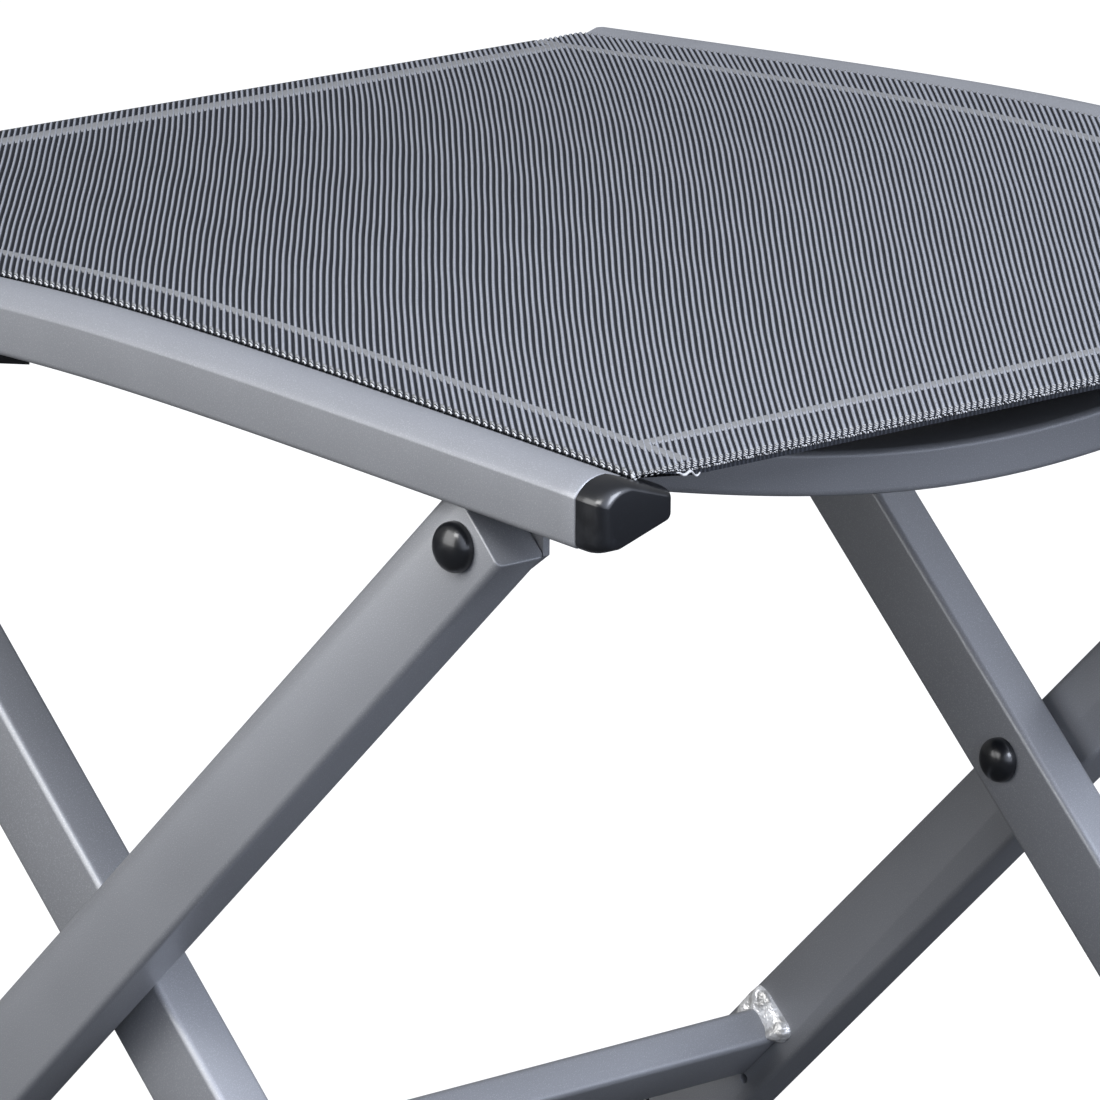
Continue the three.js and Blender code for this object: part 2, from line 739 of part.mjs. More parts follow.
const footstool = new THREE.Group();
footstool.add(makeSeat(), makeOuterFrame(), makeInnerFrame(), makeCarrierGroup());
footstool.position.x = -frameShift;

export default footstool;
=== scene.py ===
"""Folding footstool with an arched mesh sling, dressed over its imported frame.

Places and sizes are in millimetres where nothing else is said, measured from the crossing of the legs: x along
the side rails towards the hinged front end, y across towards the right rail, z up. Meshes are made in metres.
"""

import json
import logging
import math
from dataclasses import dataclass
from enum import Enum
from typing import Callable, Iterable, Sequence

import bmesh
import bpy
from mathutils import Matrix, Vector


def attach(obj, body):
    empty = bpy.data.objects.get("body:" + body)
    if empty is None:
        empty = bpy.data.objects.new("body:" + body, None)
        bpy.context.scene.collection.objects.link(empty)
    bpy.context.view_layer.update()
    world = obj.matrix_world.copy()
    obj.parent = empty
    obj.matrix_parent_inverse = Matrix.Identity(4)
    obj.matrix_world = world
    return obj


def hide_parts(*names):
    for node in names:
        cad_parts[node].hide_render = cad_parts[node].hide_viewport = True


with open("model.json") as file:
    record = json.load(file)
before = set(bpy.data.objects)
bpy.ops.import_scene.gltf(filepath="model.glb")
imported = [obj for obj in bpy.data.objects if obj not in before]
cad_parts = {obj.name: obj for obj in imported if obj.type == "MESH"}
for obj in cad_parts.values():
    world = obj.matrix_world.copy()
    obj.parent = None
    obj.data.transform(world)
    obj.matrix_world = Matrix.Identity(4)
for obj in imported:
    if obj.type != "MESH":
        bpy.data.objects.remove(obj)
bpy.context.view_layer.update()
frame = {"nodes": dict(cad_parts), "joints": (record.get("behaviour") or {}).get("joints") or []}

MM = 0.001
QUARTER = math.pi / 2
CURVE_STEPS = 8
CORNER_STEPS = 5
ROUND_STEPS = 48

log = logging.getLogger("footstool")

Point = tuple[float, float]
Triple = tuple[float, float, float]
Colour = tuple[float, float, float, float]
Section = list[Vector]
Mesh = bpy.types.Mesh
Socket = bpy.types.NodeSocket


class Side(Enum):
    """The two halves of the stool."""

    LEFT = -1
    RIGHT = 1

    @property
    def word(self) -> str:
        """The side's name in the frame's node names."""
        return self.name.lower()


class Body(Enum):
    """The rigid bodies of the frame."""

    SEAT = "seat"
    OUTER = "outer_legs"
    INNER = "inner_legs"

    @property
    def word(self) -> str:
        """The body's name in the frame's node names."""
        return self.name.lower()


@dataclass(frozen=True)
class Layout:
    """Driving sizes that several sub-assemblies share.

    Attributes:
        hinge_reach: Distance from the crossing to the seat hinge.
        outer_plane: Distance from the stool's middle to the outer legs' outer faces; the other planes are the like.
        rail_climb: Height of the rails' lower edge above the crossing.
        arch_slope: Slope of the rails far from the crossing, and arch_bend the length in which they bend.
        bow_slope: Slope of the bent bars far from their middle, and bow_bend the length in which they bend.
    """

    leg_angle: float = math.radians(44.0)
    leg_depth: float = 20.0
    hinge_reach: float = 279.0
    outer_plane: float = 245.0
    inner_plane: float = 221.0
    rail_plane: float = 253.0
    rail_front: float = 265.0
    rail_back: float = 268.0
    rail_climb: float = 217.59
    arch_slope: float = 0.058
    arch_bend: float = 83.0
    bow_slope: float = 0.293
    bow_bend: float = 150.0

    @property
    def crossing(self) -> Point:
        """Place (x, z) of the crossing, from the frame's origin."""
        pivot = next(joint for joint in frame["joints"] if joint["name"] == "leg_pivot")
        return (pivot["pos_m"][0] / MM, pivot["pos_m"][2] / MM)

    @property
    def hinge(self) -> Point:
        """Place (x, z) of the seat hinge."""
        return (self.hinge_reach * math.cos(self.leg_angle), self.hinge_reach * math.sin(self.leg_angle))

    def plane(self, body: Body) -> float:
        """Distance from the stool's middle to the outer faces of a body's legs."""
        return self.outer_plane if body is Body.OUTER else self.inner_plane

    def arch(self, x: float) -> float:
        """Height of the rails' lower edge above the crossing."""
        return self.rail_climb - self.arch_slope * (math.hypot(x, self.arch_bend) - self.arch_bend)

    def bow(self, y: float) -> float:
        """Rise of a bent cross bar above its middle."""
        return self.bow_slope * (math.hypot(y, self.bow_bend) - self.bow_bend)

    def place(self, x: float, y: float, z: float) -> Vector:
        """Turns a place measured from the crossing into the frame's metres."""
        return Vector(((x + self.crossing[0]) * MM, y * MM, (z + self.crossing[1]) * MM))

    def on_leg(self, up: float, off: float, y: float, body: Body) -> Vector:
        """Turns a place along a leg into the frame's metres.

        Args:
            up: Distance from the crossing towards the leg's upper end.
            off: Distance from the leg's axis, positive towards the seat.
            y: Place across the stool.
            body: The leg's body; the outer legs rise towards the front.

        Returns:
            The point in metres.
        """
        cos, sin = math.cos(self.leg_angle), math.sin(self.leg_angle)
        along = up * cos - off * sin
        return self.place(along if body is Body.OUTER else -along, y, up * sin + off * cos)


LAYOUT = Layout()


def evenly(start: float, end: float, steps: int) -> list[float]:
    """Places at even distances, with the first and the last."""
    return [start + (end - start) * i / steps for i in range(steps + 1)]


def placed(name: str, data: bpy.types.ID) -> bpy.types.Object:
    """Puts a mesh, a lamp or a camera into the scene.

    Args:
        name: The object's name.
        data: What it holds.

    Returns:
        The object.
    """
    made = bpy.data.objects.new(name, data)
    bpy.context.scene.collection.objects.link(made)
    return made


def grey(tone: float, warmth: float = 0.0) -> Colour:
    """A nearly neutral colour that leans to red, or to blue where the warmth is negative."""
    return (tone * (1.0 + warmth * 0.4), tone, tone * (1.0 - warmth), 1.0)


class NodeBook:
    """Short calls that add and join nodes in one tree."""

    def __init__(self, tree: bpy.types.NodeTree) -> None:
        """Keeps the tree that the nodes go into."""
        self.tree = tree

    @classmethod
    def emptied(cls, owner: bpy.types.Material | bpy.types.World) -> "NodeBook":
        """Removes the nodes that a material or a world starts with.

        Args:
            owner: The material or the world.

        Returns:
            The book of its nodes.
        """
        owner.use_nodes = True
        owner.node_tree.nodes.clear()
        return cls(owner.node_tree)

    def add(self, kind: str, *values: object, settings: dict[str, object] | None = None,
            **named: object) -> bpy.types.Node:
        """Adds a node, sets it and fills its inputs with values or output sockets.

        Args:
            kind: The node's Blender type.
            *values: What the first inputs get, in their order.
            settings: Values of the node's own properties.
            **named: What other inputs get, by their names with underscores for spaces.

        Returns:
            The node.
        """
        node = self.tree.nodes.new(kind)
        for name, value in (settings or {}).items():
            setattr(node, name, value)
        for place, value in enumerate(values):
            self.feed(node.inputs[place], value)
        for name, value in named.items():
            self.feed(node.inputs[name.replace("_", " ")], value)
        return node

    def feed(self, socket: Socket, value: object) -> None:
        """Joins an output to a socket, or sets the socket's value.

        Args:
            socket: The input socket.
            value: An output socket, or a plain value.
        """
        if isinstance(value, Socket):
            self.tree.links.new(value, socket)
        else:
            socket.default_value = value

    def math(self, operation: str, *values: object, clamp: bool = False) -> Socket:
        """Works a value out; clamp keeps it between 0 and 1."""
        settings = {"operation": operation, "use_clamp": clamp}
        return self.add("ShaderNodeMath", *values, settings=settings).outputs[0]

    def dot(self, vector: Socket, direction: Triple) -> Socket:
        """Works out the length of a vector along a direction."""
        node = self.add("ShaderNodeVectorMath", vector, direction, settings={"operation": "DOT_PRODUCT"})
        return node.outputs["Value"]

    def ramp(self, value: Socket, low: float, high: float) -> Socket:
        """Stretches a value so that low becomes 0 and high becomes 1."""
        return self.add("ShaderNodeMapRange", Value=value, From_Min=low, From_Max=high).outputs["Result"]

    def blend(self, share: Socket, first: object, second: object) -> Socket:
        """Mixes two colours by the share of the second."""
        node = self.add("ShaderNodeMix", settings={"data_type": "RGBA"}, Factor=share, A=first, B=second)
        return node.outputs["Result"]

    def mix(self, share: object, first: Socket, second: Socket) -> Socket:
        """Mixes two shaders by the share of the second."""
        return self.add("ShaderNodeMixShader", share, first, second).outputs[0]


class Surface(NodeBook):
    """The nodes of one material: its shader, the coordinates and what is drawn with them."""

    def __init__(self, tree: bpy.types.NodeTree) -> None:
        """Adds the shader, the coordinates and the output.

        Args:
            tree: The material's tree.
        """
        super().__init__(tree)
        self.shader = self.add("ShaderNodeBsdfPrincipled")
        coordinates = self.add("ShaderNodeTexCoord").outputs
        self.where, self.normal = coordinates["Object"], coordinates["Normal"]
        self.add("ShaderNodeOutputMaterial", Surface=self.shader.outputs["BSDF"])

    def colour(self, colour: Socket) -> None:
        """Gives the shader its colour."""
        self.feed(self.shader.inputs["Base Color"], colour)

    def roughen(self, share: Socket, gain: float) -> None:
        """Makes the shader rougher by a share of the gain."""
        rough = self.shader.inputs["Roughness"]
        self.feed(rough, self.math("MULTIPLY_ADD", share, gain, rough.default_value))

    def bump(self, height: Socket, relief: Point) -> None:
        """Joins a height to the shader's normal, with a strength and a depth in millimetres."""
        node = self.add("ShaderNodeBump", Height=height, Strength=relief[0], Distance=relief[1] * MM)
        self.feed(self.shader.inputs["Normal"], node.outputs["Normal"])


@dataclass(frozen=True)
class Grain:
    """A noise pattern over object coordinates.

    Attributes:
        scale: Its scale, per metre.
        low: The noise that becomes 0.
        high: The noise that becomes 1.
        detail: Its octaves.
        rough: How much the finer octaves count.
    """

    scale: float
    low: float = 0.0
    high: float = 1.0
    detail: float = 2.0
    rough: float = 0.5

    def read(self, book: Surface) -> Socket:
        """Adds the pattern to a material's nodes."""
        named = {"Vector": book.where, "Scale": self.scale, "Detail": self.detail, "Roughness": self.rough}
        return book.ramp(book.add("ShaderNodeTexNoise", **named).outputs["Fac"], self.low, self.high)


@dataclass(frozen=True)
class Finish:
    """A surface finish that becomes one material.

    Attributes:
        label: The material's name.
        slot: The record's material slot; not used.
        tone: Base lightness, as a linear value.
        warmth: Lean to red or to blue.
        rough: Roughness where it is smoothest.
        metal: Share of metal.
        specular: Strength of the plain reflection.
        gloss: Weight of the clear coat on it.
        gloss_rough: The clear coat's roughness.
        relief: Strength and depth of its bumps.
    """

    label: str
    slot: str
    tone: float
    warmth: float = 0.0
    rough: float = 0.4
    metal: float = 0.0
    specular: float = 0.5
    gloss: float = 0.0
    gloss_rough: float = 0.13
    relief: Point = (0.2, 0.1)

    def material(self) -> bpy.types.Material:
        """Makes the material the first time, and finds it later.

        Returns:
            The material.
        """
        made = bpy.data.materials.get(self.label)
        if made is None:
            made = bpy.data.materials.new(self.label)
            book = Surface.emptied(made)
            for name, value in (("Metallic", self.metal), ("Roughness", self.rough),
                                ("Specular IOR Level", self.specular), ("Coat Weight", self.gloss),
                                ("Coat Roughness", self.gloss_rough)):
                book.shader.inputs[name].default_value = value
            self.draw(book)
        return made

    def colour(self, gain: float = 1.0) -> Colour:
        """Its colour, lighter or darker by the gain."""
        return grey(self.tone * gain, self.warmth)

    def draw(self, book: Surface) -> None:
        """Draws the pattern; each finish has its own."""
        raise NotImplementedError


@dataclass(frozen=True)
class PowderCoat(Finish):
    """Satin powder coat with slow tone changes, metallic specks, rare painted glints and faint orange peel.

    Attributes:
        glint_scale: Cells per metre in which a painted glint, a tiny white dot that stands for a sparkle highlight,
            may lie.
        glint_size: A painted glint's radius.
        glint_odds: Share of the cells without one.
    """

    cloud: Grain = Grain(9.0, 0.3, 0.7)
    speck: Grain = Grain(2600.0, 0.56, 0.74, 1.0)
    wear: Grain = Grain(36.0, 0.2, 0.8)
    peel: Grain = Grain(900.0, detail=1.0)
    relief: Point = (0.12, 0.12)
    cloud_gain: float = 0.9
    speck_gain: float = 1.3
    wear_gain: float = 0.07
    glint_scale: float = 55.0
    glint_size: float = 0.35
    glint_odds: float = 0.88
    glint_tone: float = 0.8

    def draw(self, book: Surface) -> None:
        """Draws the clouds, the specks, the painted glints and the orange peel.

        Args:
            book: The material's nodes.
        """
        colour = book.blend(self.cloud.read(book), self.colour(self.cloud_gain), self.colour())
        colour = book.blend(self.speck.read(book), colour, self.colour(self.speck_gain))
        # Painted glints: sparse tiny white dots that stand for sparkle highlights on the coat.
        cells = book.add("ShaderNodeTexVoronoi", Vector=book.where, Scale=self.glint_scale).outputs
        near = book.math("LESS_THAN", cells["Distance"], self.glint_size * MM * self.glint_scale)
        draws = book.add("ShaderNodeSeparateColor", Color=cells["Color"]).outputs
        glints = book.math("MULTIPLY", near, book.math("GREATER_THAN", draws["Red"], self.glint_odds))
        book.colour(book.blend(glints, colour, grey(self.glint_tone)))
        book.roughen(self.wear.read(book), self.wear_gain)
        book.bump(self.peel.read(book), self.relief)


@dataclass(frozen=True)
class MouldedPlastic(Finish):
    """Satin moulded plastic with a fine grain, scuffed lighter in places."""

    grain: Grain = Grain(1800.0)
    scuff: Grain = Grain(60.0, 0.55, 0.8, 6.0, 0.65)
    relief: Point = (0.15, 0.15)
    scuff_gain: float = 2.6
    wear_gain: float = 0.2

    def draw(self, book: Surface) -> None:
        """Draws the grain and the scuffs.

        Args:
            book: The material's nodes.
        """
        scuff = self.scuff.read(book)
        book.colour(book.blend(scuff, self.colour(), self.colour(self.scuff_gain)))
        book.roughen(scuff, self.wear_gain)
        book.bump(self.grain.read(book), self.relief)


@dataclass(frozen=True)
class PlatedSteel(Finish):
    """Zinc-plated steel with fine turning marks and dull patches."""

    mark: Grain = Grain(700.0, detail=1.0)
    patch: Grain = Grain(120.0, 0.35, 0.7, 3.0)
    patch_gain: float = 0.7
    patch_warmth: float = 0.04
    wear_gain: float = 0.18

    def draw(self, book: Surface) -> None:
        """Draws the turning marks and the patches.

        Args:
            book: The material's nodes.
        """
        patch = self.patch.read(book)
        book.colour(book.blend(patch, self.colour(), grey(self.tone * self.patch_gain, self.patch_warmth)))
        book.roughen(patch, self.wear_gain)
        book.bump(self.mark.read(book), self.relief)


@dataclass(frozen=True)
class WeldMetal(Finish):
    """Bright weld, wrinkled and pitted, with grey patches."""

    patch: Grain = Grain(120.0, 0.36, 0.54, 3.0, 0.55)
    pit: Grain = Grain(700.0, 0.26, 0.38, 2.0, 0.6)
    fold: Grain = Grain(240.0)
    relief: Point = (0.6, 0.6)
    shade: float = 0.5
    shade_warmth: float = 0.03
    fold_height: float = 4.0
    pit_height: float = 0.25

    def draw(self, book: Surface) -> None:
        """Draws the wrinkles, the grey patches and the dark pits.

        Args:
            book: The material's nodes.
        """
        pits = self.pit.read(book)
        share = book.math("MULTIPLY", self.patch.read(book), pits)
        book.colour(book.blend(share, grey(self.tone * self.shade, self.shade_warmth), self.colour()))
        crease = book.math("ABSOLUTE", book.math("SUBTRACT", self.fold.read(book), 0.5))
        floor = book.math("MULTIPLY", pits, self.pit_height)
        book.bump(book.math("MULTIPLY_ADD", crease, self.fold_height, floor), self.relief)


@dataclass(frozen=True)
class CoatedYarn(Finish):
    """Coated polyester yarn with a fine twist along it and slow tone changes."""

    twist: Grain = Grain(1100.0, 0.35, 0.68, 2.0, 0.6)
    fade: Grain = Grain(14.0, 0.3, 0.7)
    relief: Point = (0.25, 0.1)
    shade: float = 0.72
    fade_share: float = 0.25

    def yarn(self, book: Surface) -> Socket:
        """Draws the twist and the tone changes.

        Args:
            book: The material's nodes.

        Returns:
            The colour's socket.
        """
        twist = self.twist.read(book)
        book.bump(twist, self.relief)
        colour = book.blend(twist, self.colour(self.shade), self.colour())
        faded = book.math("MULTIPLY", self.fade.read(book), self.fade_share)
        return book.blend(faded, colour, self.colour(self.shade))

    def draw(self, book: Surface) -> None:
        """Draws the yarn."""
        book.colour(self.yarn(book))


@dataclass(frozen=True)
class RibYarn(CoatedYarn):
    """Yarn of the ribs, with painted light and shade: the flank facing a set direction is painted pale as if lit,
    the other near black as if shaded; bare cross threads at the edges.

    Attributes:
        painted_light_side: Direction that the flank painted pale as if lit faces.
        painted_shade_and_edge_tone: Tone of the flank painted near black as if shaded, and of the dark yarn between
            the threads at the edges.
        painted_light_from: How closely a surface faces that way where the painted lit flank starts, and
            painted_light_to where it is full.
        painted_light_widening: How much wider the painted lit flank gets with each metre towards the front.
        side_edge: Distance from the stool's middle beyond which the threads are bare; front_edge is the like
            from the crossing.
        thread: Tone of the threads.
        thread_edge: How sharp their edges are.
    """

    specular: float = 0.12
    # Painted light and shade: these set which flank of each rib is painted pale as if lit and which near black as
    # if shaded.
    painted_light_side: Triple = (-0.45, -0.51, 0.73)
    painted_shade_and_edge_tone: float = 0.016
    painted_light_from: float = 0.14
    painted_light_to: float = 0.9
    painted_light_widening: float = 0.2
    side_edge: float = 229.8
    front_edge: float = 268.0
    thread: float = 0.42
    thread_pitch: float = 0.8
    thread_edge: float = 2.5

    def draw(self, book: Surface) -> None:
        """Draws the painted light and shade on the flanks, with the pale share wider towards the front, and then
        the threads.

        Args:
            book: The material's nodes.
        """
        parts = book.add("ShaderNodeSeparateXYZ", book.where).outputs
        # Painted light and shade: pale where the surface faces the set direction, near black on the other flank,
        # with more pale towards the front.
        wider = book.math("MULTIPLY_ADD", parts["X"], self.painted_light_widening, book.dot(book.normal, self.painted_light_side))
        share = book.ramp(wider, self.painted_light_from, self.painted_light_to)
        colour = book.blend(share, grey(self.painted_shade_and_edge_tone, self.warmth), self.yarn(book))
        book.colour(self.threads(book, parts, colour))

    def threads(self, book: Surface, parts: bpy.types.NodeOutputs, colour: Socket) -> Socket:
        """Draws the pale cross threads at the side edges and over the front hem.

        Args:
            book: The material's nodes.
            parts: Object coordinates, one by one.
            colour: The colour of the yarn.

        Returns:
            The colour with the threads.
        """
        across = book.math("ABSOLUTE", parts["Y"])
        over = book.math("SUBTRACT", parts["X"], parts["Z"])
        front = LAYOUT.place(self.front_edge, 0.0, 0.0).x
        bare, pale = [], []
        for place, edge, run in ((across, self.side_edge * MM, across), (parts["X"], front, over)):
            bare.append(book.ramp(place, edge, edge + self.thread_pitch / 2 * MM))
            turn = book.math("MULTIPLY", run, 2 * math.pi / (self.thread_pitch * MM))
            pale.append(book.math("MULTIPLY", bare[-1], book.math("SINE", turn)))
        dark = book.blend(book.math("MAXIMUM", *bare), colour, grey(self.painted_shade_and_edge_tone, self.warmth))
        share = book.math("MULTIPLY", book.math("MAXIMUM", *pale), self.thread_edge, clamp=True)
        return book.blend(share, dark, grey(self.thread))


@dataclass(frozen=True)
class PaintedShadeWeave(Finish):
    """Ground of the mesh between its ribs, painted near black as the shade seen through the mesh's open gaps, with
    thin cross yarns that run square to them.
    """

    specular: float = 0.1
    relief: Point = (0.5, 0.2)
    thread_turn: float = math.radians(45.0)
    thread_pitch: float = 1.3
    thread_gain: float = 2.4
    thread_span: Point = (0.45, 0.95)
    sway: float = 1.2

    def draw(self, book: Surface) -> None:
        """Draws the cross yarns.

        Args:
            book: The material's nodes.
        """
        turned = book.add("ShaderNodeMapping", Vector=book.where, Rotation=(0.0, 0.0, self.thread_turn))
        # A wave texture of scale 1 repeats after pi / 10.
        wave = book.add("ShaderNodeTexWave", settings={"bands_direction": "X"}, Detail=1.0,
                        Vector=turned.outputs["Vector"], Distortion=self.sway,
                        Scale=math.pi / 10.0 / (self.thread_pitch * MM)).outputs["Fac"]
        threads = book.ramp(wave, *self.thread_span)
        book.colour(book.blend(threads, self.colour(), self.colour(self.thread_gain)))
        book.bump(wave, self.relief)


COAT = PowderCoat("satin_grey_coat", "powder_coat", tone=0.285, warmth=-0.06, rough=0.405, metal=0.4, gloss=0.16)
NYLON = MouldedPlastic("black_nylon", "black_plastic", tone=0.006, warmth=-0.25, rough=0.3, gloss=0.4)
ZINC = PlatedSteel("zinc_plate", "zinc_steel", tone=0.5, warmth=-0.02, rough=0.28, metal=0.9)
PALE = MouldedPlastic("pale_plastic", "pale_plastic", tone=0.6, warmth=0.03, rough=0.45, scuff_gain=0.8)
WELD = WeldMetal("bright_weld", "powder_coat", tone=0.9, rough=0.25, metal=0.35)
# The ribs' material has light and shade painted onto their flanks.
RIB = RibYarn("rib_painted_light_and_shade", "sling_fabric", tone=0.345, warmth=-0.1, rough=0.6)
# The ground's near-black tone is painted shade for what shows through the mesh's open gaps.
GROUND = PaintedShadeWeave("ground_painted_shade", "sling_fabric", tone=0.012, warmth=-0.2, rough=0.8)
BAND = CoatedYarn("weld_band", "sling_fabric", tone=0.19, rough=0.55, shade=0.8)
YARN_END = CoatedYarn("pale_yarn_end", "sling_fabric", tone=0.45, rough=0.5, shade=0.8)
DARK_YARN = CoatedYarn("dark_yarn", "sling_fabric", tone=0.012, rough=0.45, shade=0.8)


class Outline:
    """An outline drawn with lines, curves and arcs."""

    def __init__(self, *start: Point) -> None:
        """Starts the outline with its first points, if any."""
        self.points: list[Point] = list(start)

    def line(self, *ends: Point) -> "Outline":
        """Adds straight lines to the given ends."""
        self.points.extend(ends)
        return self

    def curve(self, control: Point, end: Point) -> "Outline":
        """Adds a curve with one control point.

        Args:
            control: The control point.
            end: The curve's end.

        Returns:
            The outline.
        """
        start = self.points[-1]
        for t in evenly(0.0, 1.0, CURVE_STEPS)[1:]:
            weights = ((1 - t) ** 2, 2 * t * (1 - t), t * t)
            self.points.append(tuple(
                weights[0] * start[k] + weights[1] * control[k] + weights[2] * end[k] for k in (0, 1)))
        return self

    def arc(self, centre: Point, radius: float, start: float, end: float, steps: int) -> "Outline":
        """Adds an arc.

        Args:
            centre: The arc's centre.
            radius: Its radius.
            start: Its first angle, in radians.
            end: Its last angle, in radians.
            steps: Its number of straight steps.

        Returns:
            The outline.
        """
        for turn in evenly(start, end, steps):
            self.points.append((centre[0] + radius * math.cos(turn), centre[1] + radius * math.sin(turn)))
        return self


def rounded_box(size: Point, radius: float, centre: Point) -> list[Point]:
    """Outline of a rectangle with rounded corners.

    Args:
        size: Its width and height.
        radius: Its corner radius.
        centre: Its centre.

    Returns:
        The points, anticlockwise.
    """
    drawn = Outline()
    for corner, (right, up) in enumerate(((1, 1), (-1, 1), (-1, -1), (1, -1))):
        middle = (centre[0] + right * (size[0] / 2 - radius), centre[1] + up * (size[1] / 2 - radius))
        drawn.arc(middle, radius, corner * QUARTER, (corner + 1) * QUARTER, CORNER_STEPS)
    return drawn.points


class Maker:
    """Makes finished pieces and hands them to the frame."""

    @staticmethod
    def skin(points: Sequence[Vector], faces: Sequence[Sequence[int]]) -> Mesh:
        """Makes a closed mesh.

        Args:
            points: Its corners.
            faces: Its faces, as numbers of corners.

        Returns:
            The mesh, with its faces outwards.
        """
        mesh = bpy.data.meshes.new("skin")
        mesh.from_pydata(points, [], faces)
        bm = bmesh.new()
        bm.from_mesh(mesh)
        bmesh.ops.recalc_face_normals(bm, faces=bm.faces)
        bm.to_mesh(mesh)
        bm.free()
        return mesh

    @staticmethod
    def loft(sections: Sequence[Section]) -> Mesh:
        """Joins closed sections into one skin with a lid at each end.

        Args:
            sections: The sections, each with the same number of points.

        Returns:
            The mesh.
        """
        count = len(sections[0])
        end = count * len(sections)
        faces = [(ring + i, ring + (i + 1) % count, ring + count + (i + 1) % count, ring + count + i)
                 for ring in range(0, end - count, count) for i in range(count)]
        lids = [range(count), range(end - 1, end - count - 1, -1)]
        return Maker.skin([point for section in sections for point in section], faces + lids)

    @staticmethod
    def turned(profile: Sequence[Point], centre: Callable[[float], Vector]) -> Mesh:
        """Turns a profile round a line across the stool.

        Args:
            profile: Radii and distances along the line, starting and ending on the axis.
            centre: Gives the axis point at a distance along the line.

        Returns:
            The mesh.
        """
        points = [centre(profile[0][1]), centre(profile[-1][1])]
        for radius, along in profile[1:-1]:
            points += [centre(along) + radius * MM * Vector((math.cos(turn), 0.0, math.sin(turn)))
                       for turn in evenly(0.0, 2 * math.pi, ROUND_STEPS)[:-1]]
        last = len(points) - ROUND_STEPS
        faces = []
        for i in range(ROUND_STEPS):
            j = (i + 1) % ROUND_STEPS
            faces += [(0, 2 + j, 2 + i), (1, last + i, last + j)]
            faces += [(ring + i, ring + j, ring + ROUND_STEPS + j, ring + ROUND_STEPS + i)
                      for ring in range(2, last, ROUND_STEPS)]
        return Maker.skin(points, faces)

    @staticmethod
    def piece(name: str, mesh: Mesh, finish: Finish, body: Body, stands_for: Iterable[str] = (),
              crease: float = 35.0) -> bpy.types.Object:
        """Makes a piece from a mesh, dresses it and puts it on a body.

        Args:
            name: The piece's name.
            mesh: Its mesh.
            finish: Its finish.
            body: The body that it moves with.
            stands_for: Frame nodes that it replaces.
            crease: Angle in degrees above which an edge stays sharp.

        Returns:
            The piece.
        """
        mesh.name = name
        mesh.materials.clear()
        mesh.materials.append(finish.material())
        mesh.shade_smooth()
        mesh.set_sharp_from_angle(angle=math.radians(crease))
        made = placed(name, mesh)
        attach(made, body.value)
        if stands_for:
            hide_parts(*stands_for)
        log.info("%s: %d faces", name, len(mesh.polygons))
        return made

    @staticmethod
    def bevelled(mesh: Mesh, width: float, segments: int = 3, angle: float = 40.0) -> Mesh:
        """Rounds a mesh's sharp edges.

        Args:
            mesh: The mesh.
            width: The rounding's width.
            segments: Its number of steps.
            angle: Angle in degrees above which an edge is rounded.

        Returns:
            The rounded mesh.
        """
        carrier = placed("bevelled", mesh)
        bevel = carrier.modifiers.new("bevel", "BEVEL")
        bevel.width, bevel.segments = width * MM, segments
        bevel.limit_method, bevel.angle_limit = "ANGLE", math.radians(angle)
        return Maker.settled(carrier)

    @staticmethod
    def settled(carrier: bpy.types.Object) -> Mesh:
        """Turns an object with modifiers into a plain mesh and removes the object.

        Args:
            carrier: The object.

        Returns:
            The evaluated mesh.
        """
        evaluated = carrier.evaluated_get(bpy.context.evaluated_depsgraph_get())
        made = bpy.data.meshes.new_from_object(evaluated)
        bpy.data.objects.remove(carrier)
        return made

    @staticmethod
    def dress(node: str, finish: Finish) -> None:
        """Gives a frame node its finish.

        Args:
            node: The node's name.
            finish: The finish.
        """
        carried = frame["nodes"][node]
        carried.data.materials.clear()
        carried.data.materials.append(finish.material())
        log.info("%s: dressed", node)


class GeometryTree(NodeBook):
    """A Geometry Nodes tree with named inputs, run on one mesh and turned into a plain mesh."""

    def __init__(self, name: str) -> None:
        """Starts the tree with its geometry input and output.

        Args:
            name: The tree's name.
        """
        super().__init__(bpy.data.node_groups.new(name, "GeometryNodeTree"))
        for way in ("INPUT", "OUTPUT"):
            self.tree.interface.new_socket("Geometry", in_out=way, socket_type="NodeSocketGeometry")
        self.values: dict[str, float] = {}
        self.source = self.add("NodeGroupInput").outputs

    def given(self, name: str, value: float) -> Socket:
        """Adds a named input.

        Args:
            name: The input's name.
            value: Its value, with an int for a whole number.

        Returns:
            The input's socket inside the tree.
        """
        kind = "NodeSocketInt" if isinstance(value, int) else "NodeSocketFloat"
        socket = self.tree.interface.new_socket(name, in_out="INPUT", socket_type=kind)
        self.values[socket.identifier] = value
        return self.source[name]

    def scatter(self, least: Triple, most: Triple, seed: Socket) -> Socket:
        """Draws a random vector between two limits for each point."""
        settings = {"data_type": "FLOAT_VECTOR"}
        return self.add("FunctionNodeRandomValue", least, most, settings=settings, Seed=seed).outputs[0]

    def run(self, result: Socket, finish: Finish, mesh: Mesh) -> Mesh:
        """Closes the tree and runs it.

        Args:
            result: The geometry that the tree made.
            finish: The finish that it gets.
            mesh: The mesh that the tree reads.

        Returns:
            The made mesh.
        """
        real = self.add("GeometryNodeRealizeInstances", result).outputs[0]
        dressed = self.add("GeometryNodeSetMaterial", Geometry=real, Material=finish.material())
        self.add("NodeGroupOutput", dressed.outputs[0])
        carrier = placed("carrier", mesh)
        modifier = carrier.modifiers.new("tree", "NODES")
        modifier.node_group = self.tree
        for identifier, value in self.values.items():
            modifier[identifier] = value
        return Maker.settled(carrier)


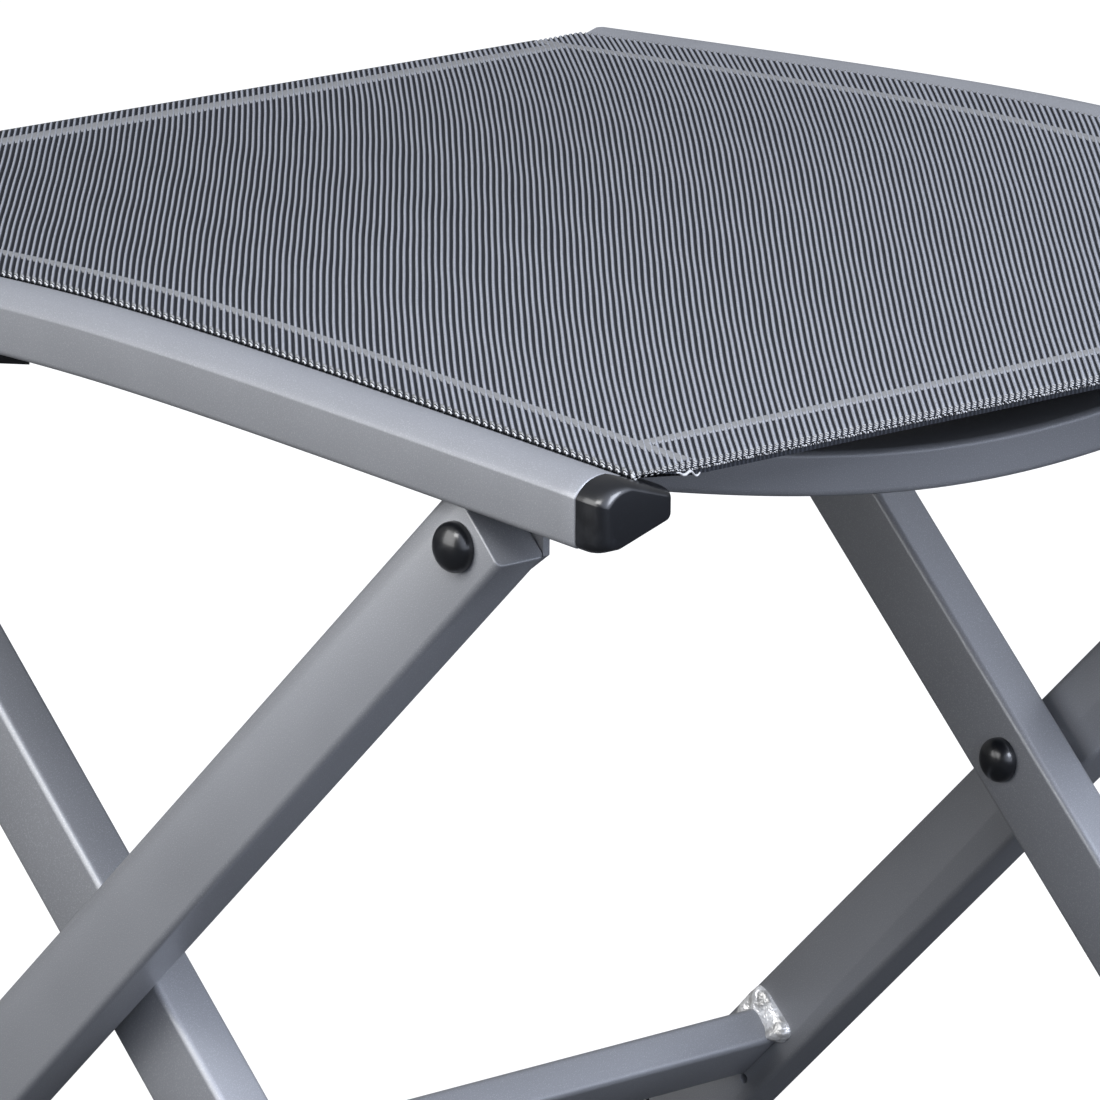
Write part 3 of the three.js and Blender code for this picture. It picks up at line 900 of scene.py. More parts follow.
@dataclass
class SideRails:
    """Arched side rails with a welt channel, their end caps and plugs.

    Attributes:
        width: Width of the profile; its insets are measured from the outer wall, its heights from below.
        shoulder: Inset and height of the middle of the rounded upper edge.
        crest: Inset where the sloping top starts.
        sole: Width of the flat underside.
        channel: Inset of the channel's centre.
        lip: Wall above the channel at its mouth.
        cap_inset: How far the cap's face is drawn in, from the sides and from above and below.
    """

    width: float = 33.0
    height: float = 22.8
    flat: float = 16.2
    corner: float = 2.4
    shoulder: Point = (3.2, 20.2)
    crest: float = 12.5
    sole: float = 8.0
    nose_low: float = 8.0
    nose_high: float = 16.8
    nose_round: float = 1.8
    channel: float = 21.0
    channel_radius: float = 3.9
    channel_steps: int = 24
    lip: float = 1.4
    mouth: float = 2.6
    steps: int = 72
    end_round: float = 0.9
    end_steps: int = 3
    cap_length: float = 11.5
    cap_round: float = 8.5
    cap_inset: Point = (4.4, 3.0)
    cap_corner: float = 3.4
    cap_steps: int = 12
    gap: float = 0.3

    def top(self, inset: float) -> float:
        """Height of the sloping top at an inset."""
        return self.height - (self.height - self.nose_high) / (self.width - self.crest) * (inset - self.crest)

    def rod_height(self) -> float:
        """Height of the welt channel's centre."""
        return self.top(self.channel) - self.lip - math.sqrt(self.channel_radius ** 2 - (self.mouth / 2) ** 2)

    def section(self, corner: float, slotted: bool) -> list[Point]:
        """The rail's outline as insets and heights.

        Args:
            corner: Radius of the lower outer corner.
            slotted: Whether the welt channel is open in the top.

        Returns:
            The points.
        """
        width, bend, half = self.width, self.nose_round, self.mouth / 2
        drawn = Outline((0.0, corner)).curve((0.0, 0.0), (corner, 0.0)).line((self.sole, 0.0))
        drawn.line((width - bend, self.nose_low - bend / 2))
        drawn.curve((width, self.nose_low), (width, self.nose_low + bend)).line((width, self.nose_high - bend))
        drawn.curve((width, self.nose_high), (width - bend, self.top(width - bend)))
        if slotted:
            turn = math.asin(half / self.channel_radius)
            drawn.line((self.channel + half, self.top(self.channel + half)))
            drawn.arc((self.channel, self.rod_height()), self.channel_radius, QUARTER - turn,
                      turn - 3 * QUARTER, self.channel_steps)
            drawn.line((self.channel - half, self.top(self.channel - half)))
        drawn.line((self.crest, self.height)).curve((self.shoulder[0] * 2, self.height), self.shoulder)
        return drawn.curve((0.0, self.shoulder[1] * 2 - self.height), (0.0, self.flat)).points

    def station(self, outline: Sequence[Point], side: Side, x: float, inset: Point = (0.0, 0.0)) -> Section:
        """Puts the outline at a place along a rail.

        Args:
            outline: The outline.
            side: The rail's side.
            x: The place.
            inset: How far the outline is drawn in, from the sides and from above and below.

        Returns:
            The section's points.
        """
        middle = (self.width / 2, self.height / 2)
        shrink = (1 - inset[0] / middle[0], 1 - inset[1] / middle[1])
        return [LAYOUT.place(
            x, side.value * (LAYOUT.rail_plane - middle[0] - (off - middle[0]) * shrink[0]),
            LAYOUT.arch(x) + middle[1] + (height - middle[1]) * shrink[1]) for off, height in outline]

    def rounding(self, outline: Sequence[Point], side: Side, end: float, radius: float, inset: Point,
                 steps: int) -> list[Section]:
        """Rounds an end off.

        Args:
            outline: The outline.
            side: The rail's side.
            end: Place of the end along the rail.
            radius: Length of the rounding.
            inset: How far the outline is drawn in at the end.
            steps: Number of straight steps.

        Returns:
            The sections.
        """
        sections = []
        for turn in evenly(0.0, QUARTER, steps):
            share = 1 - math.cos(turn)
            x = end - radius * (1 - math.sin(turn))
            sections.append(self.station(outline, side, x, (inset[0] * share, inset[1] * share)))
        return sections

    def rail(self, side: Side) -> None:
        """Builds one rail.

        Args:
            side: The side that it is on.
        """
        outline = self.section(self.corner, True)
        places = evenly(-LAYOUT.rail_back, LAYOUT.rail_front - self.end_round, self.steps)
        sections = [self.station(outline, side, x) for x in places[:-1]]
        sections += self.rounding(outline, side, LAYOUT.rail_front, self.end_round,
                                  (self.end_round, self.end_round), self.end_steps)
        Maker.piece(f"{side.word}_rail_profile", Maker.loft(sections), COAT, Body.SEAT,
                    [f"{side.word}_side_rail"])

    def cap(self, side: Side) -> None:
        """Builds one front cap with a rounded face.

        Args:
            side: The side that it is on.
        """
        outline = self.section(self.cap_corner, False)
        face = LAYOUT.rail_front + self.gap
        sections = [self.station(outline, side, face)]
        sections += self.rounding(outline, side, face + self.cap_length, self.cap_round, self.cap_inset,
                                  self.cap_steps)
        Maker.piece(f"{side.word}_front_cap_shell", Maker.loft(sections), NYLON, Body.SEAT,
                    [f"{side.word}_front_end_cap"], crease=50.0)

    def build(self) -> None:
        """Builds both rails and their caps."""
        for side in Side:
            self.rail(side)
            self.cap(side)

    def dress(self) -> None:
        """Dresses the plugs and the welt rods of the frame."""
        for side in Side:
            Maker.dress(f"{side.word}_back_end_plug", NYLON)
            Maker.dress(f"{side.word}_welt_rod", PALE)


@dataclass
class CrossBars:
    """Bent bars across the seat and the inner legs, and the straight tubes between the lower legs."""

    steps: int = 64
    corner: float = 2.4
    seat_size: Point = (28.0, 15.5)
    seat_front: float = 204.0
    seat_middle: float = 178.0
    seat_half: float = 219.7
    carrier_size: Point = (20.0, 13.5)
    carrier_front: float = 182.5
    carrier_middle: float = 155.4
    outer_half: float = 224.7
    inner_half: float = 200.7
    brace_place: Point = (-218.0, 1.3)

    def bent(self, name: str, centre: float, low: float, size: Point, half: float, body: Body) -> None:
        """Builds a bar that is bent down in the middle.

        Args:
            name: The frame node that it replaces.
            centre: Its place along the rails.
            low: Height of its underside in the middle.
            size: Its width and height.
            half: Half its length.
            body: The body that it moves with.
        """
        outline = rounded_box(size, self.corner, (centre, low + size[1] / 2))
        sections = [[LAYOUT.place(x, y, z + LAYOUT.bow(y)) for x, z in outline]
                    for y in evenly(-half, half, self.steps)]
        Maker.piece(f"{name}_tube", Maker.loft(sections), COAT, body, [name])

    def brace(self, name: str, half: float, body: Body) -> None:
        """Builds a straight tube between the two legs of a body.

        Args:
            name: The frame node that it replaces.
            half: Half its length.
            body: The legs' body.
        """
        outline = rounded_box(self.seat_size, self.corner, self.brace_place)
        sections = [[LAYOUT.on_leg(up, off, y, body) for up, off in outline] for y in evenly(-half, half, 2)]
        Maker.piece(f"{name}_skin", Maker.loft(sections), COAT, body, [name])

    def build(self) -> None:
        """Builds all the bars."""
        for end, word in ((1, "front"), (-1, "back")):
            centre = end * (self.seat_front - self.seat_size[0] / 2)
            self.bent(f"{word}_seat_bar", centre, self.seat_middle, self.seat_size, self.seat_half, Body.SEAT)
        centre = -self.carrier_front - self.carrier_size[0] / 2
        self.bent("carrying_bar", centre, self.carrier_middle, self.carrier_size, self.inner_half, Body.INNER)
        self.brace("outer_cross_tube", self.outer_half, Body.OUTER)
        self.brace("inner_cross_tube", self.inner_half, Body.INNER)


@dataclass
class Legs:
    """Outer and inner leg tubes with their foot caps and plugs.

    Attributes:
        outer_top: Distance of the outer legs' upper end from the crossing, before it is cut level.
        foot: Distance of the legs' lower end from the crossing.
        headroom: Height of the outer legs' level cut above the hinge.
        vent: Radius of the vent hole.
        vent_place: Its place along the leg and off its axis.
        sole: Length of a foot's sole.
        heel: Length of the foot cap's upper wall.
    """

    width: float = 32.0
    corner: float = 2.6
    outer_top: float = 291.0
    inner_top: float = 278.0
    foot: float = 286.0
    headroom: float = 14.7
    edge: float = 0.7
    plug_head: float = 2.0
    vent: float = 2.0
    vent_place: Point = (-232.0, -8.0)
    vent_steps: int = 24
    foot_wall: float = 0.8
    sole: float = 27.0
    heel: float = 12.0
    foot_round: float = 1.6
    gap: float = 0.3

    def middle(self, side: Side, body: Body) -> float:
        """Place of a leg's axis across the stool."""
        return side.value * (LAYOUT.plane(body) - LAYOUT.leg_depth / 2)

    def tube(self, ends: Point, side: Side, body: Body) -> Mesh:
        """Builds a leg tube, or a piece of its section.

        Args:
            ends: Distances of its ends from the crossing.
            side: The side that it is on.
            body: The leg's body.

        Returns:
            The mesh.
        """
        outline = rounded_box((LAYOUT.leg_depth, self.width), self.corner, (self.middle(side, body), 0.0))
        return Maker.loft([[LAYOUT.on_leg(up, off, across, body) for across, off in outline] for up in ends])

    def outer_leg(self, side: Side) -> None:
        """Builds an outer leg, its top cut level under the rail.

        Args:
            side: The side that it is on.
        """
        mesh = self.tube((-self.foot, self.outer_top), side, Body.OUTER)
        bm = bmesh.new()
        bm.from_mesh(mesh)
        cut = bmesh.ops.bisect_plane(
            bm, geom=bm.verts[:] + bm.edges[:] + bm.faces[:], clear_outer=True, plane_no=(0.0, 0.0, 1.0),
            plane_co=LAYOUT.place(0.0, 0.0, LAYOUT.hinge[1] + self.headroom))
        rim = [edge for edge in cut["geom_cut"] if isinstance(edge, bmesh.types.BMEdge)]
        bmesh.ops.contextual_create(bm, geom=rim)
        bmesh.ops.recalc_face_normals(bm, faces=bm.faces)
        bm.to_mesh(mesh)
        bm.free()
        mesh = self.drilled(Maker.bevelled(mesh, self.edge), side)
        Maker.piece(f"{side.word}_outer_leg_tube", mesh, COAT, Body.OUTER, [f"{side.word}_outer_leg"])

    def drilled(self, mesh: Mesh, side: Side) -> Mesh:
        """Drills the vent hole in an outer leg's inner wall.

        Args:
            mesh: The leg.
            side: The side that it is on.

        Returns:
            The drilled mesh.
        """
        inside = side.value * (LAYOUT.outer_plane - LAYOUT.leg_depth)
        ring = Outline().arc(self.vent_place, self.vent, 0.0, 2 * math.pi, self.vent_steps).points[:-1]
        drill = [[LAYOUT.on_leg(up, off, inside + side.value * away, Body.OUTER) for up, off in ring]
                 for away in (-self.vent, self.vent * 2)]
        tool, carrier = placed("drill", Maker.loft(drill)), placed("drilled", mesh)
        hole = carrier.modifiers.new("hole", "BOOLEAN")
        hole.operation, hole.solver, hole.object = "DIFFERENCE", "EXACT", tool
        made = Maker.settled(carrier)
        bpy.data.objects.remove(tool)
        return made

    def inner_leg(self, side: Side) -> None:
        """Builds an inner leg and the plug in its top.

        Args:
            side: The side that it is on.
        """
        mesh = Maker.bevelled(self.tube((-self.foot, self.inner_top), side, Body.INNER), self.edge / 2, 2)
        Maker.piece(f"{side.word}_inner_leg_tube", mesh, COAT, Body.INNER, [f"{side.word}_inner_leg"])
        start = self.inner_top + self.gap
        plug = Maker.bevelled(self.tube((start, start + self.plug_head), side, Body.INNER), self.edge)
        Maker.piece(f"{side.word}_top_plug_head", plug, NYLON, Body.INNER, [f"{side.word}_top_plug"])

    def foot_cap(self, side: Side, body: Body) -> None:
        """Builds a foot cap with a level sole.

        Args:
            side: The side that it is on.
            body: The leg's body.
        """
        half = self.width / 2 + self.foot_wall
        cos, sin = math.cos(LAYOUT.leg_angle), math.sin(LAYOUT.leg_angle)
        mouth = self.foot + self.gap
        heel = (LAYOUT.crossing[1] - half * cos) / sin
        toe = (heel + self.sole * cos, self.sole * sin - half)
        drawn = Outline((-mouth, -half)).line((-heel, -half), (-toe[0], toe[1]))
        drawn.curve((self.foot_wall - toe[0], half), (-mouth - self.heel, half)).line((-mouth, half))
        middle, reach = self.middle(side, body), LAYOUT.leg_depth / 2 + self.foot_wall
        mesh = Maker.loft([[LAYOUT.on_leg(up, off, y, body) for up, off in drawn.points]
                           for y in (middle - reach, middle + reach)])
        Maker.piece(f"{side.word}_{body.word}_foot_shoe", Maker.bevelled(mesh, self.foot_round, angle=30.0),
                    NYLON, body, [f"{side.word}_{body.word}_foot_cap"], crease=50.0)

    def build(self) -> None:
        """Builds the legs and their feet."""
        for side in Side:
            self.outer_leg(side)
            self.inner_leg(side)
            for body in (Body.OUTER, Body.INNER):
                self.foot_cap(side, body)


@dataclass
class Joints:
    """Domed covers over the bolts, and the joints' metal pieces from the frame.

    Attributes:
        wall: Height of a cover's straight rim, and the rim's thickness.
        hollow: Depth of the hollow in a cover's underside.
    """

    radius: float = 8.4
    height: float = 6.6
    wall: float = 1.25
    hollow: float = 0.4
    gap: float = 0.3
    steps: int = 14

    def cover(self, side: Side, joint: str, axis: Point, face: float, out: int, body: Body) -> None:
        """Builds a domed cover.

        Args:
            side: The side that it is on.
            joint: The joint's name in the frame's node names.
            axis: Place (x, z) of the joint, from the crossing.
            face: Distance from the stool's middle to the face that it sits on.
            out: 1 where it faces outwards and -1 where it faces inwards.
            body: The body that it moves with.
        """
        rim = self.radius - self.wall
        profile = [(0.0, self.hollow), (rim, self.hollow), (rim, 0.0), (self.radius, 0.0)]
        for turn in evenly(0.0, QUARTER, self.steps)[:-1]:
            profile.append((self.radius * math.cos(turn), self.wall + (self.height - self.wall) * math.sin(turn)))
        profile.append((0.0, self.height))
        mesh = Maker.turned(profile, lambda away: LAYOUT.place(
            axis[0], side.value * (face + out * (self.gap + away)), axis[1]))
        Maker.piece(f"{side.word}_{joint}_dome", mesh, NYLON, body, [f"{side.word}_{joint}_cover"], crease=45.0)

    def build(self) -> None:
        """Builds the four covers."""
        inside = LAYOUT.inner_plane - LAYOUT.leg_depth
        for side in Side:
            self.cover(side, "hinge", LAYOUT.hinge, LAYOUT.outer_plane, 1, Body.SEAT)
        for side in Side:
            self.cover(side, "pivot", (0.0, 0.0), inside, -1, Body.INNER)

    def dress(self) -> None:
        """Dresses the metal pieces of the frame, the washers and the pads."""
        for side in Side:
            Maker.dress(f"{side.word}_hinge_bracket", COAT)
            for word in ("hinge_bolt", "hinge_nut", "pivot_bolt", "pivot_insert"):
                Maker.dress(f"{side.word}_{word}", ZINC)
            Maker.dress(f"{side.word}_pivot_washer", PALE)
            Maker.dress(f"{side.word}_rest_pad", NYLON)


@dataclass
class Cloth:
    """The sling's cloth between the welt rods: its ground, painted near black as shade, and the sleeves round the
    rods.

    The skin is drawn in run and span, lengths on the cloth along and across the rails, which turn down at
    the hems.

    Attributes:
        rails: The rails that hold it.
        front: Distance from the crossing to the front hem.
        lift: Height of the cloth's underside above the rails' tops, where it enters them.
        rail_inset: Inset of that place on the rails.
        corner_span: Distances from the middle between which the hems' fall gets less.
        corner_share: Share of the fall that is left beyond them.
        sleeve_radii: Outer and inner radius of the sleeves.
    """

    rails: SideRails
    front: float = 269.0
    back: float = 267.0
    thickness: float = 0.7
    lift: float = 0.8
    sag: float = 5.0
    rail_inset: float = 21.0
    hem_round: float = 1.7
    hem_fall: float = 2.3
    hem_turns: int = 6
    rail_round: float = 1.0
    corner_span: Point = (205.0, 226.0)
    corner_share: float = 0.14
    least_depth: float = 0.1
    across_steps: int = 60
    along_steps: int = 60
    sleeve_radii: Point = (3.6, 2.6)
    sleeve_slit: float = 0.12
    sleeve_steps: tuple[int, int] = (28, 36)
    sleeve_gap: float = 0.3

    @property
    def half(self) -> float:
        """Half the sling's width, from rod to rod."""
        return LAYOUT.rail_plane - self.rail_inset

    @property
    def run_ends(self) -> Point:
        """Lengths on the cloth to its back and front ends."""
        extra = self.hem_round * (QUARTER - 1) + self.hem_fall
        return (-self.back - extra, self.front + extra)

    @property
    def span_end(self) -> float:
        """Length on the cloth from its middle to where it enters a rail."""
        return self.half + self.rail_round * (QUARTER - 1)

    @staticmethod
    def turned_down(length: float, limit: float, radius: float) -> Triple:
        """Follows the cloth over a rounded edge.

        Args:
            length: Length on the cloth from its middle, positive.
            limit: Level distance from the middle to the edge.
            radius: The edge's radius.

        Returns:
            The level distance, the fall and the turn of the cloth there.
        """
        over = length - (limit - radius)
        if over <= 0.0:
            return (length, 0.0, 0.0)
        turn = min(QUARTER, over / radius)
        rest = max(0.0, over - radius * QUARTER)
        return (limit - radius + radius * math.sin(turn), radius * (1 - math.cos(turn)) + rest, turn)

    def skin(self, run: float, span: float, depth: float = 0.0) -> Vector:
        """A point of the cloth.

        Args:
            run: Length on the cloth along the rails, from the crossing.
            span: Length on the cloth across the stool.
            depth: Distance under the upper face.

        Returns:
            The point in metres.
        """
        limit = self.front if run > 0 else self.back
        reach, fall, pitch = self.turned_down(abs(run), limit, self.hem_round)
        side, dip, roll = self.turned_down(abs(span), self.half, self.rail_round)
        start, end = self.corner_span
        near = min(1.0, max(0.0, (abs(span) - start) / (end - start)))
        ease = 1 - (1 - self.corner_share) * near * near * (3 - 2 * near)
        x = math.copysign(reach - depth * math.sin(pitch) * ease, run)
        y = math.copysign(side - depth * math.sin(roll), span)
        hang = self.sag * (1 - min(1.0, side / self.half) ** 2) * max(0.0, 1 - (reach / self.front) ** 2)
        top = self.rails.top(self.rail_inset) + self.lift + self.thickness
        sunk = depth * max(self.least_depth, math.cos(pitch * ease))
        return LAYOUT.place(x, y, LAYOUT.arch(x) + top - hang - fall * ease - dip - sunk)

    def hems(self, edge: float, radius: float, fall: float = 0.0) -> list[float]:
        """Lengths on the cloth over a hem, with a straight fall below its rounding if it has one."""
        lengths = [edge - radius + radius * turn for turn in evenly(0.0, QUARTER, self.hem_turns)]
        return lengths + ([lengths[-1] + fall] if fall else [])

    def ground(self) -> bpy.types.Object:
        """Builds the ground sheet.

        Returns:
            The sheet.
        """
        runs = [-run for run in reversed(self.hems(self.back, self.hem_round, self.hem_fall))]
        runs += evenly(self.hem_round - self.back, self.front - self.hem_round, self.along_steps)[1:-1]
        runs += self.hems(self.front, self.hem_round, self.hem_fall)
        edge, level = self.hems(self.half, self.rail_round), self.half - self.rail_round
        spans = [-span for span in reversed(edge)] + evenly(-level, level, self.across_steps)[1:-1] + edge
        sections = []
        for run in runs:
            upper = [self.skin(run, span) for span in spans]
            sections.append(upper + [self.skin(run, span, self.thickness) for span in reversed(spans)])
        return Maker.piece("sling_ground", Maker.loft(sections), GROUND, Body.SEAT, ["sling"])

    def sleeve(self, side: Side) -> bpy.types.Object:
        """Builds the sleeve round one welt rod.

        Args:
            side: The side that it is on.

        Returns:
            The sleeve.
        """
        centre = (side.value * self.half, self.rails.rod_height())
        outer, inner = self.sleeve_radii
        around, along = self.sleeve_steps
        start, end = QUARTER + self.sleeve_slit, 5 * QUARTER - self.sleeve_slit
        ring = Outline().arc(centre, outer, start, end, around).arc(centre, inner, end, start, around).points
        sections = [[LAYOUT.place(x, y, LAYOUT.arch(x) + z) for y, z in ring]
                    for x in evenly(-self.back, LAYOUT.rail_front - self.sleeve_gap, along)]
        return Maker.piece(f"{side.word}_sling_sleeve", Maker.loft(sections), GROUND, Body.SEAT)


@dataclass
class Ribs:
    """Coated ribs on both faces of the cloth, made by a Geometry Nodes tree.

    They follow the level lines of a bent field, because the cloth was pulled askew when it was hung.

    Attributes:
        cloth: The cloth that they lie on.
        corners: Number of corners of their section, and tilt how far it turns under.
        trim: How far they end before the ground does, at the hems.
        reach: Distance from the crossing up to which they are looked for.
        step: Distance between a rib's points, and hem_steps their places near its ends.
        warp: Weights of the field's bends.
        warp_span: Lengths along and across at which the bends have their full weight.
        sway: How far a rib sways, and waves its wavelengths, each with its lead from one rib to the next.
        level_tries: Moves that bring a point onto its level line.
        end_tries: Halvings that find the place where a rib is cut.
    """

    cloth: Cloth
    pitch: float = 2.15
    width: float = 1.4
    height: float = 1.3
    corners: int = 7
    tilt: float = math.radians(25.0)
    trim: float = 2.3
    reach: float = 372.0
    step: float = 16.0
    hem_steps: tuple[float, ...] = (0.0, 0.5, 1.0, 1.5, 2.1, 3.2, 6.0)
    angle: float = math.radians(41.4)
    warp: tuple[float, ...] = (1.98, 2.96, -1.38, 4.65)
    warp_span: Point = (250.0, 230.0)
    sway: float = 0.16
    waves: tuple[Point, Point] = ((17.0, 0.37), (41.0, 0.11))
    level_tries: int = 4
    end_tries: int = 18

    @property
    def ends(self) -> Point:
        """Lengths on the cloth to the ribs' back and front ends."""
        back, front = self.cloth.run_ends
        return (back + self.trim, front - self.trim)

    def askew(self, x: float, y: float) -> Triple:
        """The field whose level lines are the ribs.

        Args:
            x: Place along the rails.
            y: Place across the stool.

        Returns:
            The field's value and its slopes along and across.
        """
        along, across = self.warp_span
        a, b = x / along, y / across
        k, m, n, p = self.warp
        value = x * math.sin(self.angle) + y * math.cos(self.angle)
        value += k * b * b + m * b ** 3 + n * a * b * b + p * a * a * b
        slope_x = math.sin(self.angle) + (n * b * b + 2 * p * a * b) / along
        slope_y = math.cos(self.angle) + (2 * k * b + 3 * m * b * b + 2 * n * a * b + p * a * a) / across
        return (value, slope_x, slope_y)

    def lines(self) -> list[list[Point]]:
        """Runs and spans of the ribs, clipped to the cloth.

        Returns:
            The points of each rib.
        """
        sin, cos = math.sin(self.angle), math.cos(self.angle)
        (first, lead), (second, lag) = self.waves
        places = evenly(-self.reach, self.reach, round(2 * self.reach / self.step))
        last = int(self.reach / self.pitch)
        lines = []
        for i in range(-last, last + 1):
            level = i * self.pitch
            line = []
            for t in places:
                x, y = sin * level - cos * t, cos * level + sin * t
                for _ in range(self.level_tries):
                    value, slope_x, slope_y = self.askew(x, y)
                    move = (level - value) / (slope_x * sin + slope_y * cos)
                    x, y = x + sin * move, y + cos * move
                sway = self.sway * math.sin(t / first + i * lead) * math.cos(t / second - i * lag)
                line.append((x + sin * sway, y + cos * sway))
            kept = self.clipped(line)
            if len(kept) > 1 and math.dist(kept[0], kept[-1]) > self.width * 2:
                lines.append(kept)
        return lines

    def clipped(self, line: Sequence[Point]) -> list[Point]:
        """Cuts a line off at the ribs' outline.

        Args:
            line: The line's points.

        Returns:
            The points inside, with the ones where it crosses the outline.
        """
        (back, front), side = self.ends, self.cloth.span_end

        def inside(point: Point) -> bool:
            """Whether a point is inside the outline."""
            return back <= point[0] <= front and abs(point[1]) <= side

        kept: list[Point] = []
        for first, second in zip(line, line[1:]):
            if inside(first):
                kept.append(first)
            if inside(first) != inside(second):
                near, far = (first, second) if inside(first) else (second, first)
                for _ in range(self.end_tries):
                    middle = ((near[0] + far[0]) / 2, (near[1] + far[1]) / 2)
                    near, far = (middle, far) if inside(middle) else (near, middle)
                kept.append(near)
        return kept

    def resampled(self, line: Sequence[Point]) -> list[Point]:
        """Sets a rib's points close together at its ends, where it turns over a hem, and further apart between.

        Args:
            line: The rib's points.

        Returns:
            The new points.
        """
        lengths = [0.0]
        for first, second in zip(line, line[1:]):
            lengths.append(lengths[-1] + math.dist(first, second))
        total = lengths[-1]
        close = [step for step in self.hem_steps if step < total / 2]
        inner = total - 2 * close[-1]
        middle = evenly(0.0, inner, max(1, round(inner / self.step)))[1:-1]
        places = close + [close[-1] + step for step in middle] + [total - step for step in reversed(close)]
        points, k = [], 0
        for place in places:
            while k < len(line) - 2 and lengths[k + 1] < place:
                k += 1
            share = (place - lengths[k]) / (lengths[k + 1] - lengths[k])
            points.append(tuple(line[k][i] + (line[k + 1][i] - line[k][i]) * share for i in (0, 1)))
        return points

    def face(self, name: str, under: bool) -> bpy.types.Object:
        """Builds the ribs of one face.

        Args:
            name: The piece's name.
            under: Whether they are on the underside.

        Returns:
            The ribs.
        """
        verts: list[Vector] = []
        edges: list[tuple[int, int]] = []
        depth = self.cloth.thickness if under else 0.0
        for line in self.lines():
            start = len(verts)
            verts += [self.cloth.skin(run, span, depth) for run, span in self.resampled(line)]
            edges += [(i, i + 1) for i in range(start, len(verts) - 1)]
        paths = bpy.data.meshes.new("rib_paths")
        paths.from_pydata(verts, edges, [])
        tree = GeometryTree("sling_ribs")
        width = tree.given("Rib width", self.width * MM)
        height = tree.given("Rib height", self.height * MM)
        corners = tree.given("Rib corners", self.corners)
        path = tree.add("GeometryNodeMeshToCurve", tree.source["Geometry"]).outputs["Curve"]
        level = tree.add("GeometryNodeSetCurveNormal", settings={"mode": "Z_UP"}, Curve=path).outputs["Curve"]
        turn = self.tilt if under else -self.tilt
        arc = tree.add("GeometryNodeCurveArc", Resolution=corners, Radius=0.5, Start_Angle=-turn,
                       Sweep_Angle=math.copysign(math.pi, turn) + 2 * turn).outputs["Curve"]
        shut = tree.add("GeometryNodeSetSplineCyclic", Geometry=arc, Cyclic=True).outputs["Geometry"]
        scale = tree.add("ShaderNodeCombineXYZ", width, height, 1.0).outputs["Vector"]
        flat = tree.add("GeometryNodeTransform", Geometry=shut, Scale=scale).outputs["Geometry"]
        skin = tree.add("GeometryNodeCurveToMesh", Curve=level, Profile_Curve=flat, Fill_Caps=True)
        return Maker.piece(name, tree.run(skin.outputs["Mesh"], RIB, paths), RIB, Body.SEAT, crease=80.0)


